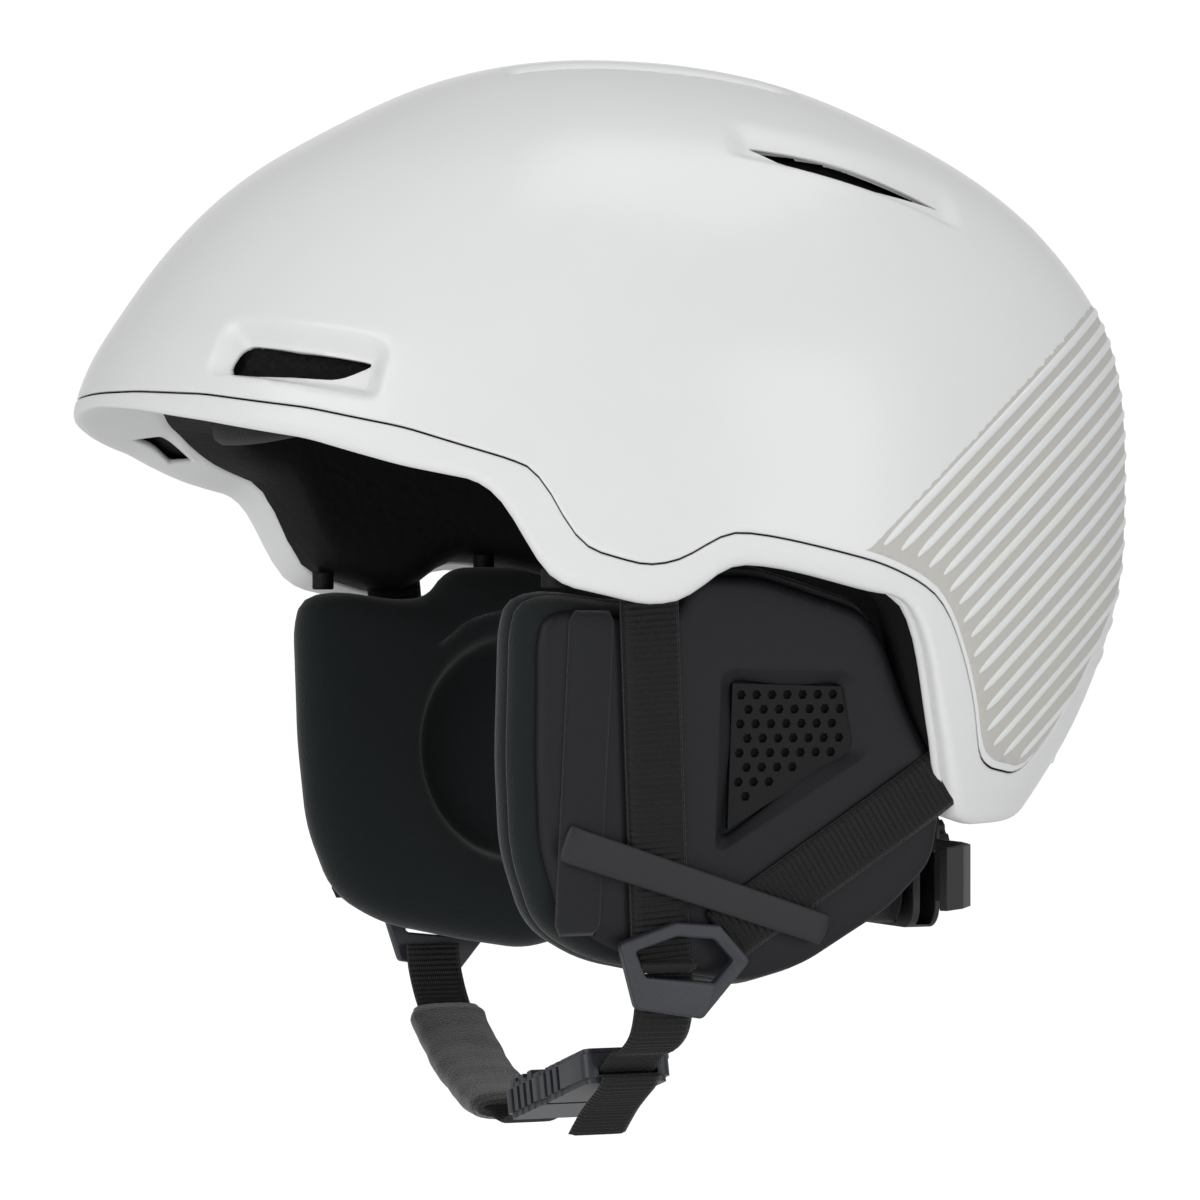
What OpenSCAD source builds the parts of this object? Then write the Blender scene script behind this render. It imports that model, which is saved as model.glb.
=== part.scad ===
// Ski helmet: two-piece hard shell on a foam liner, ear pads, rear fit dial, webbing straps and release buckle.
// Front faces -Y, the wearer's left is +X and up is +Z. z = 0 is at the temples, in the middle of the head opening.
// Pieces that come in pairs are drawn for the wearer's left and mirrored for the right.

/* [Shell] */
// Length of the shell
shell_l = 285; // [280:1:290]
// Width of the shell over the temples
shell_w = 222; // [218:1:226]
// Height of the crown above the temples
crown_h = 143; // [141:1:146]
// Wall of the hard shells
shell_t = 1.6; // [1.2:0.2:2]
// Groove between the upper and the lower shell
seam_gap = 0.6; // [0.4:0.1:1]
// How far the brow's underside turns in
brow_lip = 26; // [22:1:30]
// How far the rim turns in at the sides and back
side_lip = 11; // [9:1:13]

/* [Foam] */
// Thickness of the foam at the brow
foam_front = 36; // [32:1:38]
// Thickness of the foam at the sides
foam_side = 24; // [20:1:26]
// Thickness of the foam at the back
foam_rear = 30; // [26:1:32]
// Thickness of the foam at the crown
foam_crown = 26; // [22:1:28]

/* [Ear pads] */
// Distance of the pad's outer face from the middle, at the temples
ear_x = 92; // [91:0.5:93]
// Inward lean of the pad's lower edge
ear_lean = 5; // [3:0.5:6]
// Thickness of the soft cushion
cushion_t = 17; // [14:1:18]
// Thickness of the moulded outer cover
cover_t = 3; // [2:0.5:3]

/* [Straps] */
// Width of the webbing
webbing_w = 16; // [14:1:18]
// Thickness of the webbing
webbing_t = 1.6; // [1.2:0.2:1.8]

/* [Buckle] */
// Length of the socket half
socket_l = 30; // [28:1:32]
// Width of both halves
buckle_w = 24; // [22:1:26]
// Thickness of both halves
buckle_t = 9; // [8:0.5:10]

/* [Fit dial] */
// Radius of the dial
dial_r = 15; // [14:0.5:16]
// Height of the dial's middle
dial_z = -72; // [-74:1:-70]
// Pitch radius of the pinion
pinion_r = 4; // [4:0.5:4]

/* [Hidden] */
eps = 0.01;

// ---- The shell's skin: stations from crown to nape, eased between by cubic curves ----
// Each station is [height, reach to the front, reach to the back, half width] on a 285 x 222 x 143 shell.
STATIONS = [[143, 0, 0, 0], [141.5, 24, 25, 20], [136, 47, 50, 41], [126, 69, 74, 62], [112, 93, 100, 81],
    [96, 111, 120, 94], [76, 126.5, 135, 104], [56, 138, 141, 109], [30, 143, 142, 111], [0, 142, 139.5, 110],
    [-32, 134, 127, 106], [-62, 122, 106, 99], [-90, 108, 84, 90]];
LAST = len(STATIONS) - 1;
SIZE = [crown_h / 143, shell_l / 285, shell_l / 285, shell_w / 222];
ROUND = 2 / 2.25;  // how square the plan is: 1 is an ellipse

function mixed(a, b, c, d, u) =
    (2 * b + (c - a) * u + (2 * a - 5 * b + 4 * c - d) * u * u + (3 * b - a - 3 * c + d) * pow(u, 3)) / 2;
function station(k) =
    k < 0 ? [STATIONS[1][0], -STATIONS[1][1], -STATIONS[1][2], -STATIONS[1][3]] :
    k > LAST ? 2 * STATIONS[LAST] - STATIONS[LAST - 1] : STATIONS[k];
function section(t) =
    let (i = min(max(floor(t), 0), LAST - 1), s = mixed(station(i - 1), station(i), station(i + 1), station(i + 2), t - i))
    [for (k = [0:3]) s[k] * SIZE[k]];
function power(v) = sign(v) * pow(abs(v), ROUND);
// Point of the skin at station t and plan angle a, counted from the front towards the wearer's left.
function skin(t, a) =
    let (s = section(t)) [s[3] * power(sin(a)), -(cos(a) > 0 ? s[1] : s[2]) * power(cos(a)), s[0]];
function unit(v) = v / norm(v);
function outward(t, a) =
    let (d = 0.02) unit(cross(skin(t + d, a) - skin(t - d, a), skin(t, a + 0.5) - skin(t, a - 0.5)));
function inset(t, a, d) = skin(t, a) - d * outward(t, a);
function station_at(z, lo = 0.05, hi = LAST, tries = 20) =
    tries == 0 ? (lo + hi) / 2 :
    let (mid = (lo + hi) / 2) section(mid)[0] > z ? station_at(z, mid, hi, tries - 1) : station_at(z, lo, mid, tries - 1);

// Lower edge of the rim and line of the seam, as [plan angle, height] from the front to the back.
RIM = [[0, 49], [12, 47], [26, 43], [42, 38], [54, 31], [63, 27], [66, 20], [69, 6], [71, 2], [75, 0], [80, -3],
    [84, -1], [86, 5], [88, 8], [92, 6], [101, 0], [104, -1], [106, -6], [108, -15], [111, -30], [116, -45],
    [122, -57], [130, -59], [180, -60]];
SEAM = [[0, 53], [12, 52.5], [26, 51], [42, 47], [54, 42], [66, 34], [69, 31], [71, 21], [73, 13], [77, 10], [80, 8],
    [84, 11], [86, 16], [88, 17], [101, 9], [106, 4], [109, -1], [113, -15], [120, -39], [124, -43], [132, -45],
    [136, -42], [141, -25], [147, -8], [154, 4], [162, 10], [180, 12]];
// Plan angles of the columns, close together where the rim turns a corner.
HALF = [0, 6, 12, 19, 26, 34, 42, 48, 54, 60, 63, 66, 69, 71, 73, 75, 77, 80, 84, 86, 88, 92, 96, 101, 104, 106, 108,
    109, 111, 113, 116, 120, 124, 128, 132, 136, 141, 147, 154, 162, 171, 180];
FULL = concat(HALF, [for (i = [len(HALF) - 2:-1:1]) 360 - HALF[i]]);
COARSE = [for (i = [0:2:len(FULL) - 1]) FULL[i]];
function folded(a) = a > 180 ? 360 - a : a;
function rim_z(a) = lookup(folded(a), RIM);
function seam_z(a) = lookup(folded(a), SEAM);
function brow(a) = max(0, cos(a));
// The lip is narrow where the rear straps come out from behind the rim.
LIP = [[0, brow_lip], [30, brow_lip - 4], [60, side_lip], [98, side_lip - 2], [104, 4], [121, 4], [128, side_lip],
    [150, side_lip - 2], [180, side_lip - 3]];
function lip_w(a) = lookup(folded(a), LIP);
function lip_rise(a) = 3 + 5 * brow(a);
function foam_t(t, a) =
    let (side = foam_side + (cos(a) > 0 ? foam_front - foam_side : foam_rear - foam_side) * pow(cos(a), 2), k = min(1, t / 6))
    foam_crown + (side - foam_crown) * k * k;
function lining(t, a, d = 0) = inset(t, a, foam_t(t, a) + d);
function inward(t, a) = let (n = outward(t, a)) -unit([n[0], n[1], 0]);

// ---- Skins over columns of points ----
// Every column has n points. They run from pole to pole, or are a closed ring.
function walls(cols, n, ring, closed = true) =
    [for (j = [0:(closed ? cols - 1 : cols - 2)], k = [0:(ring ? n - 1 : n - 2)])
        let (a = j * n + k, b = j * n + (k + 1) % n, c = ((j + 1) % cols) * n + (k + 1) % n, d = ((j + 1) % cols) * n + k)
        each [[a, c, b], [a, d, c]]];
module band_of(columns) {
    polyhedron(points = [for (c = columns) each c], faces = walls(len(columns), len(columns[0]), true), convexity = 8);
}
module dome_of(columns, top, under) {
    m = len(columns);
    n = len(columns[0]);
    polyhedron(points = concat([for (c = columns) each c], [top, under]),
        faces = concat(walls(m, n, false), [for (j = [0:m - 1]) each [
            [m * n, ((j + 1) % m) * n, j * n], [m * n + 1, j * n + n - 1, ((j + 1) % m) * n + n - 1]]]), convexity = 8);
}
// A pad of thickness t1 lying d inside the foam, over plan angles a and stations t.
module lining_pad(angles, stations, d, thick) {
    rows = [for (a = angles) concat([for (t = stations) lining(t, a, d)],
        [for (i = [len(stations) - 1:-1:0]) lining(stations[i], a, d + thick)])];
    bar_of(rows);
}
// A bar through rings of an even number of points, with both ends closed.
module bar_of(rings) {
    n = len(rings[0]);
    end = (len(rings) - 1) * n;
    polyhedron(points = [for (r = rings) each r], faces = concat(walls(len(rings), n, true, false),
        [for (k = [0:n / 2 - 2]) each [[k, k + 1, n - 2 - k], [k, n - 2 - k, n - 1 - k],
            [end + k + 1, end + k, end + n - 2 - k], [end + n - 2 - k, end + k, end + n - 1 - k]]]), convexity = 4);
}

// ---- Vents ----
module facing(n) { rotate([0, acos(n[2]), atan2(n[1], n[0])]) children(); }
// A slot with round corners at the given points, sunk along direction n from +out to -deep.
module slot(points, n, r, out, deep) {
    hull() for (p = points) translate(p) facing(n) translate([0, 0, -deep]) cylinder(r = r, h = out + deep, $fn = 12);
}
module both() { children(); mirror([1, 0, 0]) children(); }
FRONT_DIR = unit([0.5, -0.8, 0.33]);
FRONT_VENT = [[57, -120, 64], [84, -94, 58], [79, -101, 56], [57, -124, 58]];
SIDE_DIR = unit([0.62, 0.25, 0.74]);
SIDE_VENT = [[77, 10, 113], [78, 36, 109.5], [80, 60, 101], [81, 34, 107], [80, 14, 111]];
CROWN_DIR = unit([0.2, 0, 1]);
CROWN_VENT = [[24, -30, 138], [29, -6, 138], [26, 24, 138], [22, -4, 138]];
REAR_DIR = unit([0.2, 0.9, 0.4]);
REAR_VENT = [[24, 121, 96], [46, 114, 92], [44, 116, 86], [24, 123, 90]];
module vents(r, deep) {
    both() slot(FRONT_VENT, FRONT_DIR, r, 16, deep);
    both() slot(SIDE_VENT, SIDE_DIR, r, 16, deep);
    both() slot(CROWN_VENT, CROWN_DIR, r, 12, deep);
    both() slot(REAR_VENT, REAR_DIR, r, 16, deep);
}

// ---- Ribs of the rear panel: each lies in a slanting plane, and they stand side by side ----
RIB_PLANE = unit([-0.268, -0.664, 0.698]);
RIB_FIRST = -42;  // signed distance of the foremost rib's plane
rib_pitch = 6;
rib_count = 11;
rib_w = 4;
rib_h = 0.6;
rib_end = 171;
function rib_t(a, c, lo = 0.4, hi = LAST, tries = 16) =
    tries == 0 ? (lo + hi) / 2 :
    let (mid = (lo + hi) / 2) RIB_PLANE * skin(mid, a) > c ? rib_t(a, c, mid, hi, tries - 1) : rib_t(a, c, lo, mid, tries - 1);
function rib_start(c, a = 99) =
    a > rib_end - 12 ? a : skin(rib_t(a, c), a)[2] > seam_z(a) + 3.5 ? a : rib_start(c, a + 1);
function rib_stop(c, a = rib_end) =
    a < 130 ? a : skin(rib_t(a, c), a)[2] > seam_z(a) + 3.5 ? a : rib_stop(c, a - 1);
module rib(c) {
    steps = 8;
    from = rib_start(c);
    to = rib_stop(c);
    rings = [for (i = [0:steps])
        let (a = from + (to - from) * i / steps, t = rib_t(a, c), p = skin(t, a), n = outward(t, a),
            side = unit(RIB_PLANE - (RIB_PLANE * n) * n), h = i == 0 || i == steps ? -0.1 : rib_h)
        [p + side * rib_w / 2 - n * 0.8, p + side * 0.6 + n * h, p - side * 0.6 + n * h, p - side * rib_w / 2 - n * 0.8]];
    bar_of(rings);
}

// ---- Shells and liner ----
module top_shell() {
    steps = 10;
    inner = 10;
    color("white") difference() {
        union() {
            both() for (i = [0:rib_count - 1]) rib(RIB_FIRST - i * rib_pitch);
            top_dome(steps, inner);
        }
        vents(1.6, 12);
    }
}
module top_dome(steps, inner) {
    dome_of([for (a = FULL) let (end = station_at(seam_z(a) + seam_gap / 2)) concat(
        [for (i = [1:steps]) skin(end * i / steps, a)],
        [for (i = [inner:-1:1]) inset(end * i / inner, a, shell_t)])], [0, 0, crown_h], [0, 0, crown_h - shell_t]);
}
// One column of the lower shell: down the outside, in along the lip and back up the inside.
function rim_column(a) =
    let (top = station_at(seam_z(a) - seam_gap / 2), low = station_at(rim_z(a)), foot = skin(low, a), in = inward(low, a),
        up = [0, 0, 1], tip = foot + in * lip_w(a) + up * lip_rise(a))
    concat([for (i = [0:3]) skin(top + (low - top) * i / 3, a)],
        [foot + in * 2.4 - up * 1.1, foot + in * (lip_w(a) * 0.6) + up * (lip_rise(a) * 0.45), tip, tip + up * shell_t,
        foot + in * 2.6 + up * 1.4],
        [for (i = [2:-1:0]) inset(top + (low - top) * i / 3, a, shell_t)]);
module lower_shell() {
    color("gainsboro") difference() {
        band_of([for (a = FULL) rim_column(a)]);
        both() slot([[10, -126, 56], [30, -122, 54]], unit([0, -0.2, -1]), 3, 14, 6);
        both() slot([[10, -126, 47], [30, -122, 45]], unit([0, -0.2, -1]), 4, 6, 2);
        both() slot([[12, 130, -20], [12, 130, -24]], [0, 1, 0], 1.5, 16, 16);
        both() slot([[30, 126, -20], [44, 121, -20]], unit([0.25, 1, 0]), 2.5, 12, 12);
    }
}
module eps_liner() {
    outer = 8;
    inner = 9;
    gap = shell_t + 1.2;
    color("dimgray") difference() {
        dome_of([for (a = COARSE) let (edge = station_at(rim_z(a) + lip_rise(a) + 8.5), out = station_at(rim_z(a) + lip_rise(a) + 7)) concat(
            [for (i = [1:outer]) inset(out * i / outer, a, gap)],
            [for (i = [inner:-1:1]) lining(edge * i / inner, a)])], [0, 0, crown_h - gap], [0, 0, crown_h - foam_crown]);
        vents(2.2, 46);
    }
}
module vent_screens() {
    color("black") both() {
        slot(FRONT_VENT, FRONT_DIR, 1.5, -4.5, 5.7);
        slot(SIDE_VENT, SIDE_DIR, 1.5, -4.5, 5.7);
        slot(CROWN_VENT, CROWN_DIR, 1.5, -1, 2.2);
    }
}
pad_gap = 1.2;  // hook-and-loop patches hold the pads this far off the foam
module brow_pad() {
    color("darkslategray") lining_pad([for (a = [-54:12:54]) a], [6, 6.6, 7.2], pad_gap, 7);
}
module crown_pad() {
    color("darkslategray") {
        lining_pad([for (a = [-40:16:40]) a], [1.2, 2.2, 3.4, 4.6], pad_gap, 6);
        lining_pad([for (a = [140:16:220]) a], [1.2, 2.2, 3.4, 4.6], pad_gap, 6);
    }
}
module side_pads() {
    color("darkslategray") {
        lining_pad([for (a = [64:10:114]) a], [4.5, 5.8, 7.2], pad_gap, 6);
        lining_pad([for (a = [246:10:296]) a], [4.5, 5.8, 7.2], pad_gap, 6);
    }
}

// ---- Fit dial, its pinion and the two racked bands ----
// The racks run along X above and below the pinion, inside the housing.
TEETH = 10;
PITCH = 2 * PI * pinion_r / TEETH;
tooth_h = 1.2;
rack_y = 82;
rack_t = 3;
housing_w = 54;
housing_h = 32;
housing_y = 79.5;
housing_t = 8;
shaft_r = 2;
module across_y(y, h) { translate([0, y, 0]) rotate([-90, 0, 0]) linear_extrude(h) children(); }
module tooth(root, tip) { polygon([[-root, -0.4], [root, -0.4], [tip, tooth_h], [-tip, tooth_h]]); }
module dial_pinion() {
    color("gold") translate([0, 0, dial_z]) {
        difference() {
            union() {
                across_y(rack_y, rack_t) {
                    circle(r = pinion_r - tooth_h / 2, $fn = 48);
                    for (i = [0:TEETH - 1]) rotate(i * 360 / TEETH) translate([0, pinion_r - tooth_h / 2]) tooth(0.62, 0.3);
                }
                across_y(rack_y + rack_t, dial_y + 2 - rack_y - rack_t) circle(r = 3, $fn = 48);
            }
            across_y(rack_y - 1, 20) circle(r = shaft_r / 2, $fn = 32);
        }
    }
}
// The bar above the pinion, with teeth that point down, then the arm that bends forwards round the head.
BAND = [[34, 0], [47, -0.3], [58, -3.5], [67, -10], [74, -18]];
module fit_band() {
    bar_z = pinion_r + tooth_h / 2 + 0.15;
    translate([0, 0, dial_z]) {
        translate([-12, rack_y, bar_z]) cube([46.5, rack_t, 3.4]);
        across_y(rack_y, rack_t) for (i = [-4:4]) translate([(i + 0.5) * PITCH, -bar_z]) tooth(0.62, 0.3);
        translate([0, rack_y + rack_t / 2, -bar_z - 3.4]) linear_extrude(2 * bar_z + 6.8) ribbon(BAND, 2.2);
    }
}
module fit_band_left() { color("black") fit_band(); }
module fit_band_right() {
    color("black") translate([0, 0, 2 * dial_z]) rotate([0, 180, 0]) fit_band();
}
module cradle_body(y, t) {
    translate([0, y, dial_z]) rotate([90, 0, 0]) translate([0, 0, -t]) linear_extrude(t) difference() {
        hull() for (x = [-1, 1], z = [-1, 1]) translate([x * (housing_w / 2 - 6), z * (housing_h / 2 - 6)]) circle(6, $fn = 32);
        children();
    }
}
module cradle_housing() {
    color("black") difference() {
        cradle_body(housing_y, housing_t - 1.5);
        translate([-housing_w, rack_y - 0.4, dial_z + pinion_r - 4.9]) cube([2 * housing_w, housing_t, 16]);
        translate([-housing_w, rack_y - 0.4, dial_z - pinion_r - 11.1]) cube([2 * housing_w, housing_t, 16]);
    }
}
module cradle_cover() {
    color("dimgray") translate([0, 0, 0]) cradle_body(housing_y + housing_t - 1.5, 1.5) circle(r = 3.3, $fn = 48);
}
module cradle_hanger() {
    color("black") translate([0, housing_y + 1.2, dial_z + housing_h / 2 - 2]) rotate([-19, 0, 0])
        translate([-10, 0, 0]) cube([20, 2, 34]);
}
module nape_pad() {
    color("darkslategray") translate([0, housing_y - 7, dial_z]) rotate([90, 0, 0]) translate([0, 0, -6.8])
        linear_extrude(6.8) hull() for (x = [-1, 1], z = [-1, 1]) translate([x * 20, z * 9]) circle(7, $fn = 32);
}
dial_y = housing_y + housing_t + 0.6;
module fit_dial() {
    color("gray") translate([0, 0, dial_z]) difference() {
        across_y(dial_y, 9) difference() {
            circle(r = dial_r, $fn = 64);
            for (i = [0:17]) rotate(i * 20) translate([dial_r + 0.6, 0]) circle(r = 1.5, $fn = 16);
        }
        across_y(dial_y - 1, 3) circle(r = 3, $fn = 48);
        across_y(dial_y + 6.5, 4) circle(r = dial_r - 3.5, $fn = 64);
        across_y(dial_y - 1, 20) circle(r = shaft_r / 2, $fn = 32);
    }
}
module dial_screw() {
    color("silver") translate([0, 0, dial_z]) {
        across_y(rack_y + 0.2, dial_y + 6.5 - rack_y - 0.2) circle(r = shaft_r / 2, $fn = 32);
        across_y(dial_y + 6.5, 1.6) circle(r = 3, $fn = 32);
    }
}

// ---- Ear pads: drawn flat as [Y, Z], then stood up and leant inwards ----
EAR = [[-55, 3], [-44, 1], [-36, -1], [-20, -1], [-13, 7], [6, 7], [20, 3], [36, -2], [42, -10], [50, -28], [58, -42],
    [60, -54], [58, -68], [46, -80], [22, -94], [6, -98], [-36, -91], [-50, -83], [-57, -64], [-59, -40], [-59, -4]];
module on_pad(from, to) {
    translate([ear_x, 0, 0]) rotate([0, ear_lean, 0]) rotate([90, 0, 90]) translate([0, 0, from]) linear_extrude(to - from)
        children();
}
module ear_outline(shrink) { offset(r = 3, $fn = 24) offset(delta = -3 - shrink) polygon(EAR); }
WINDOW = [[0, -21], [30, -22], [34, -38], [0, -58]];
module window(grow) { offset(delta = grow) polygon(WINDOW); }
module ear_cushion() {
    difference() {
        on_pad(-cover_t - cushion_t, -cover_t) ear_outline(0);
        on_pad(-cover_t - cushion_t - 1, -cover_t - 7) translate([8, -42]) scale([1, 1.15]) circle(r = 27, $fn = 48);
    }
}
// The cover's window is sunk in two steps, and a raised bar runs down in front of the strap.
BAR = [[-46, -6], [-43, -3], [-36.5, -3], [-34.2, -6], [-34.2, -80], [-37, -83], [-44, -83], [-46, -80]];
module ear_cover() {
    on_pad(-cover_t, -1.4) difference() { ear_outline(1.5); window(1); }
    on_pad(-1.4, 0) difference() { ear_outline(1.5); window(4.5); }
    on_pad(0, 1.6) polygon(BAR);
}
module ear_grille() {
    pitch = 4.2;
    on_pad(-cover_t, -cover_t + 1.2) difference() {
        window(-0.05);
        for (i = [0:7], j = [0:8]) let (y = 2.5 + i * pitch + (j % 2) * pitch / 2, z = -24 - j * pitch * 0.87)
            if (z > -54 + y * 0.55 && y < 31) translate([y, z]) circle(r = 1.3, $fn = 6);
    }
}
module ear_stud() {
    for (foot = [[-48, 2.9], [0, 8.1]]) translate([ear_x - 4, foot[0], foot[1]]) cylinder(r = 3, h = 5, $fn = 32);
}
module ear_cushion_left() { color("darkslategray") ear_cushion(); }
module ear_cushion_right() { color("darkslategray") mirror([1, 0, 0]) ear_cushion(); }
module ear_cover_left() { color("#26262c") ear_cover(); }
module ear_cover_right() { color("#26262c") mirror([1, 0, 0]) ear_cover(); }
module ear_grille_left() { color("black") ear_grille(); }
module ear_grille_right() { color("black") mirror([1, 0, 0]) ear_grille(); }
module ear_stud_left() { color("gray") ear_stud(); }
module ear_stud_right() { color("gray") mirror([1, 0, 0]) ear_stud(); }

// ---- Straps over the ear pads ----
strap_w0 = 0.6;  // height of the webbing's inner face over the pad's outer face
strap_w1 = strap_w0 + webbing_t;
divider_w0 = strap_w1 + 0.2;
divider_w1 = divider_w0 + 3;
function along(a, b) = atan2(b[1] - a[1], b[0] - a[0]);
module strip(a, b, w) { translate(a) rotate(along(a, b)) translate([0, -w / 2]) square([norm(b - a), w]); }
FRONT_TOP = [-25.5, 11];
FRONT_END = [-18.5, -86];
REAR_TOP = [63, -42];
REAR_END = [0, -83.5];
module front_strap() { on_pad(strap_w0, strap_w1) strip(FRONT_TOP, FRONT_END, webbing_w); }
module rear_strap() {
    on_pad(strap_w0, strap_w1) difference() {
        strip(REAR_TOP, REAR_END, webbing_w);
        strip(FRONT_TOP, FRONT_END + [0.2, -4], webbing_w + 0.6);
    }
}
KEEPER = [[-42, -61], [25, -83]];
module strap_keeper() {
    on_pad(strap_w1 + 0.1, strap_w1 + 1.7) hull() {
        translate(KEEPER[0]) circle(d = 9, $fn = 32);
        translate(KEEPER[1]) circle(d = 5, $fn = 32);
    }
    on_pad(0.4, strap_w1 + 0.1) {
        translate([23, -82.4]) circle(d = 4, $fn = 32);
    }
    on_pad(1.7, strap_w1 + 0.1) translate([-39.5, -61.8]) circle(d = 6, $fn = 32);
}
RING = [[-31, -85], [-16, -80], [-4, -81], [4.6, -90], [-8, -104.5], [-26, -101.5]];
HOLE = [[-26.5, -87], [-15.5, -83.5], [-5.5, -84.4], [0, -90], [-5, -95.5], [-23.5, -93.5]];
module divider() {
    on_pad(divider_w0, divider_w1) difference() {
        offset(r = 1.5, $fn = 24) offset(delta = -1.5) polygon(RING);
        polygon(HOLE);
    }
}
module front_strap_left() { color("#18181a") front_strap(); }
module front_strap_right() { color("#18181a") mirror([1, 0, 0]) front_strap(); }
module rear_strap_left() { color("#18181a") rear_strap(); }
module rear_strap_right() { color("#18181a") mirror([1, 0, 0]) rear_strap(); }
module strap_keeper_left() { color("#2c2e34") strap_keeper(); }
module strap_keeper_right() { color("#2c2e34") mirror([1, 0, 0]) strap_keeper(); }
module divider_left() { color("#3a3c42") divider(); }
module divider_right() { color("#3a3c42") mirror([1, 0, 0]) divider(); }

// ---- Chin straps and buckle, in the upright plane between the dividers ----
chin_y = -17;
buckle_at = [30, -126];
buckle_tilt = 15;
// An even ribbon of thickness t along points, each [x, z] or [x, y].
function turned(v) = [-v[1], v[0]];
function side_of(p, i) =
    let (a = p[max(i - 1, 0)], b = p[min(i + 1, len(p) - 1)]) turned((b - a) / norm(b - a));
module ribbon(p, t) {
    polygon(concat([for (i = [0:len(p) - 1]) p[i] + side_of(p, i) * t / 2],
        [for (i = [len(p) - 1:-1:0]) p[i] - side_of(p, i) * t / 2]));
}
module chin_web(points, t, w) {
    translate([0, chin_y + w / 2, 0]) rotate([90, 0, 0]) linear_extrude(w) ribbon(points, t);
}
module in_buckle() { translate([buckle_at[0], chin_y, buckle_at[1]]) rotate([0, -buckle_tilt, 0]) children(); }
function buckle_point(x, z) =
    buckle_at + [x * cos(buckle_tilt) - z * sin(buckle_tilt), x * sin(buckle_tilt) + z * cos(buckle_tilt)];
web_z = -1.6;  // height of the webbing inside the buckle
NEAR_WEB = concat([[84.8, -96.5], [84.2, -103], [81, -109], [74.5, -113.2]], [buckle_point(38, web_z), buckle_point(22, web_z)]);
FAR_WEB = concat([buckle_point(-6, web_z), buckle_point(-42, web_z)],
    [[-20, -137], [-34, -134.5], [-50, -129], [-64, -121.5], [-75, -112.5], [-81.5, -104], [-83.8, -96.5]]);
module chin_strap_left() { color("#18181a") chin_web(NEAR_WEB, webbing_t, webbing_w); }
module chin_strap_right() { color("#18181a") chin_web(FAR_WEB, webbing_t, webbing_w); }
module chin_sleeve() {
    color("#2a2a2e") difference() {
        chin_web([for (i = [3:7]) FAR_WEB[i]], 8, webbing_w + 6);
        chin_web([for (i = [2:8]) FAR_WEB[i]], webbing_t + 0.1, webbing_w + 0.1);
    }
}
module plate(x0, x1, w, z0, z1, r = 2.5) {
    translate([0, 0, z0]) linear_extrude(z1 - z0) translate([x0, -w / 2]) {
        translate([r, 0]) square([x1 - x0 - 2 * r, w]);
        translate([0, r]) square([x1 - x0, w - 2 * r]);
        for (x = [r, x1 - x0 - r], y = [r, w - r]) translate([x, y]) circle(r, $fn = 32);
    }
}
// A moulded half: the middle layer is full size, and a step all round leaves the two faces smaller.
module shell_half(x0, x1) {
    plate(x0, x1, buckle_w, -buckle_t / 2 + 1.4, buckle_t / 2 - 1.4);
    plate(x0 + 0.9, x1 - 0.9, buckle_w - 1.8, -buckle_t / 2, buckle_t / 2, 2);
}
// Finger grips: notches along both edges.
module grips(x0, pitch, count) {
    for (i = [0:count - 1], side = [-1, 1])
        translate([x0 + i * pitch, side * buckle_w / 2 - 1.1, -buckle_t]) cube([2, 2.2, 2 * buckle_t]);
}
module buckle_socket() {
    color("#34373d") in_buckle() difference() {
        shell_half(0.3, socket_l + 2);
        grips(3.2, 4.6, 3);
        translate([socket_l - 11, -webbing_w / 2 - 0.05, web_z - webbing_t / 2 - 0.05]) cube([20, webbing_w + 0.1, webbing_t + 0.1]);
        translate([-1, -7.4, 0.3]) cube([13.4, 14.8, 2.8]);
        translate([15, -6, 1.6]) cube([11, 20, 5]);
        translate([6, 0, -buckle_t / 2 + 0.8]) cylinder(r = 4, h = 2.4, $fn = 48);
    }
}
module release_tab() {
    color("#4a4d54") in_buckle() translate([15.4, -5.6, 1.7]) cube([10.2, 20, 3.4]);
}
module buckle_tongue() {
    color("#34373d") in_buckle() difference() {
        union() {
            shell_half(-26, 0);
            for (i = [0:2]) translate([-23 + i * 6, -buckle_w / 2 + 1, buckle_t / 2 - 0.5]) cube([3.4, buckle_w - 2, 1.8]);
            translate([-1, -7, 0.6]) cube([13, 14, 2.2]);
        }
        translate([-30, -webbing_w / 2 - 0.4, web_z - webbing_t / 2 - 0.4]) cube([60, webbing_w + 0.8, webbing_t + 0.8]);
        translate([-7, 0, 1]) cylinder(r = 3.5, h = 2.4, $fn = 48);
        grips(-21, 4.6, 4);
    }
}
module socket_magnet() { color("silver") in_buckle() translate([6, 0, -buckle_t / 2 + 0.8]) cylinder(r = 4, h = 1, $fn = 48); }
module tongue_magnet() { color("silver") in_buckle() translate([-7, 0, 1]) cylinder(r = 3.5, h = 2.4, $fn = 48); }

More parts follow.
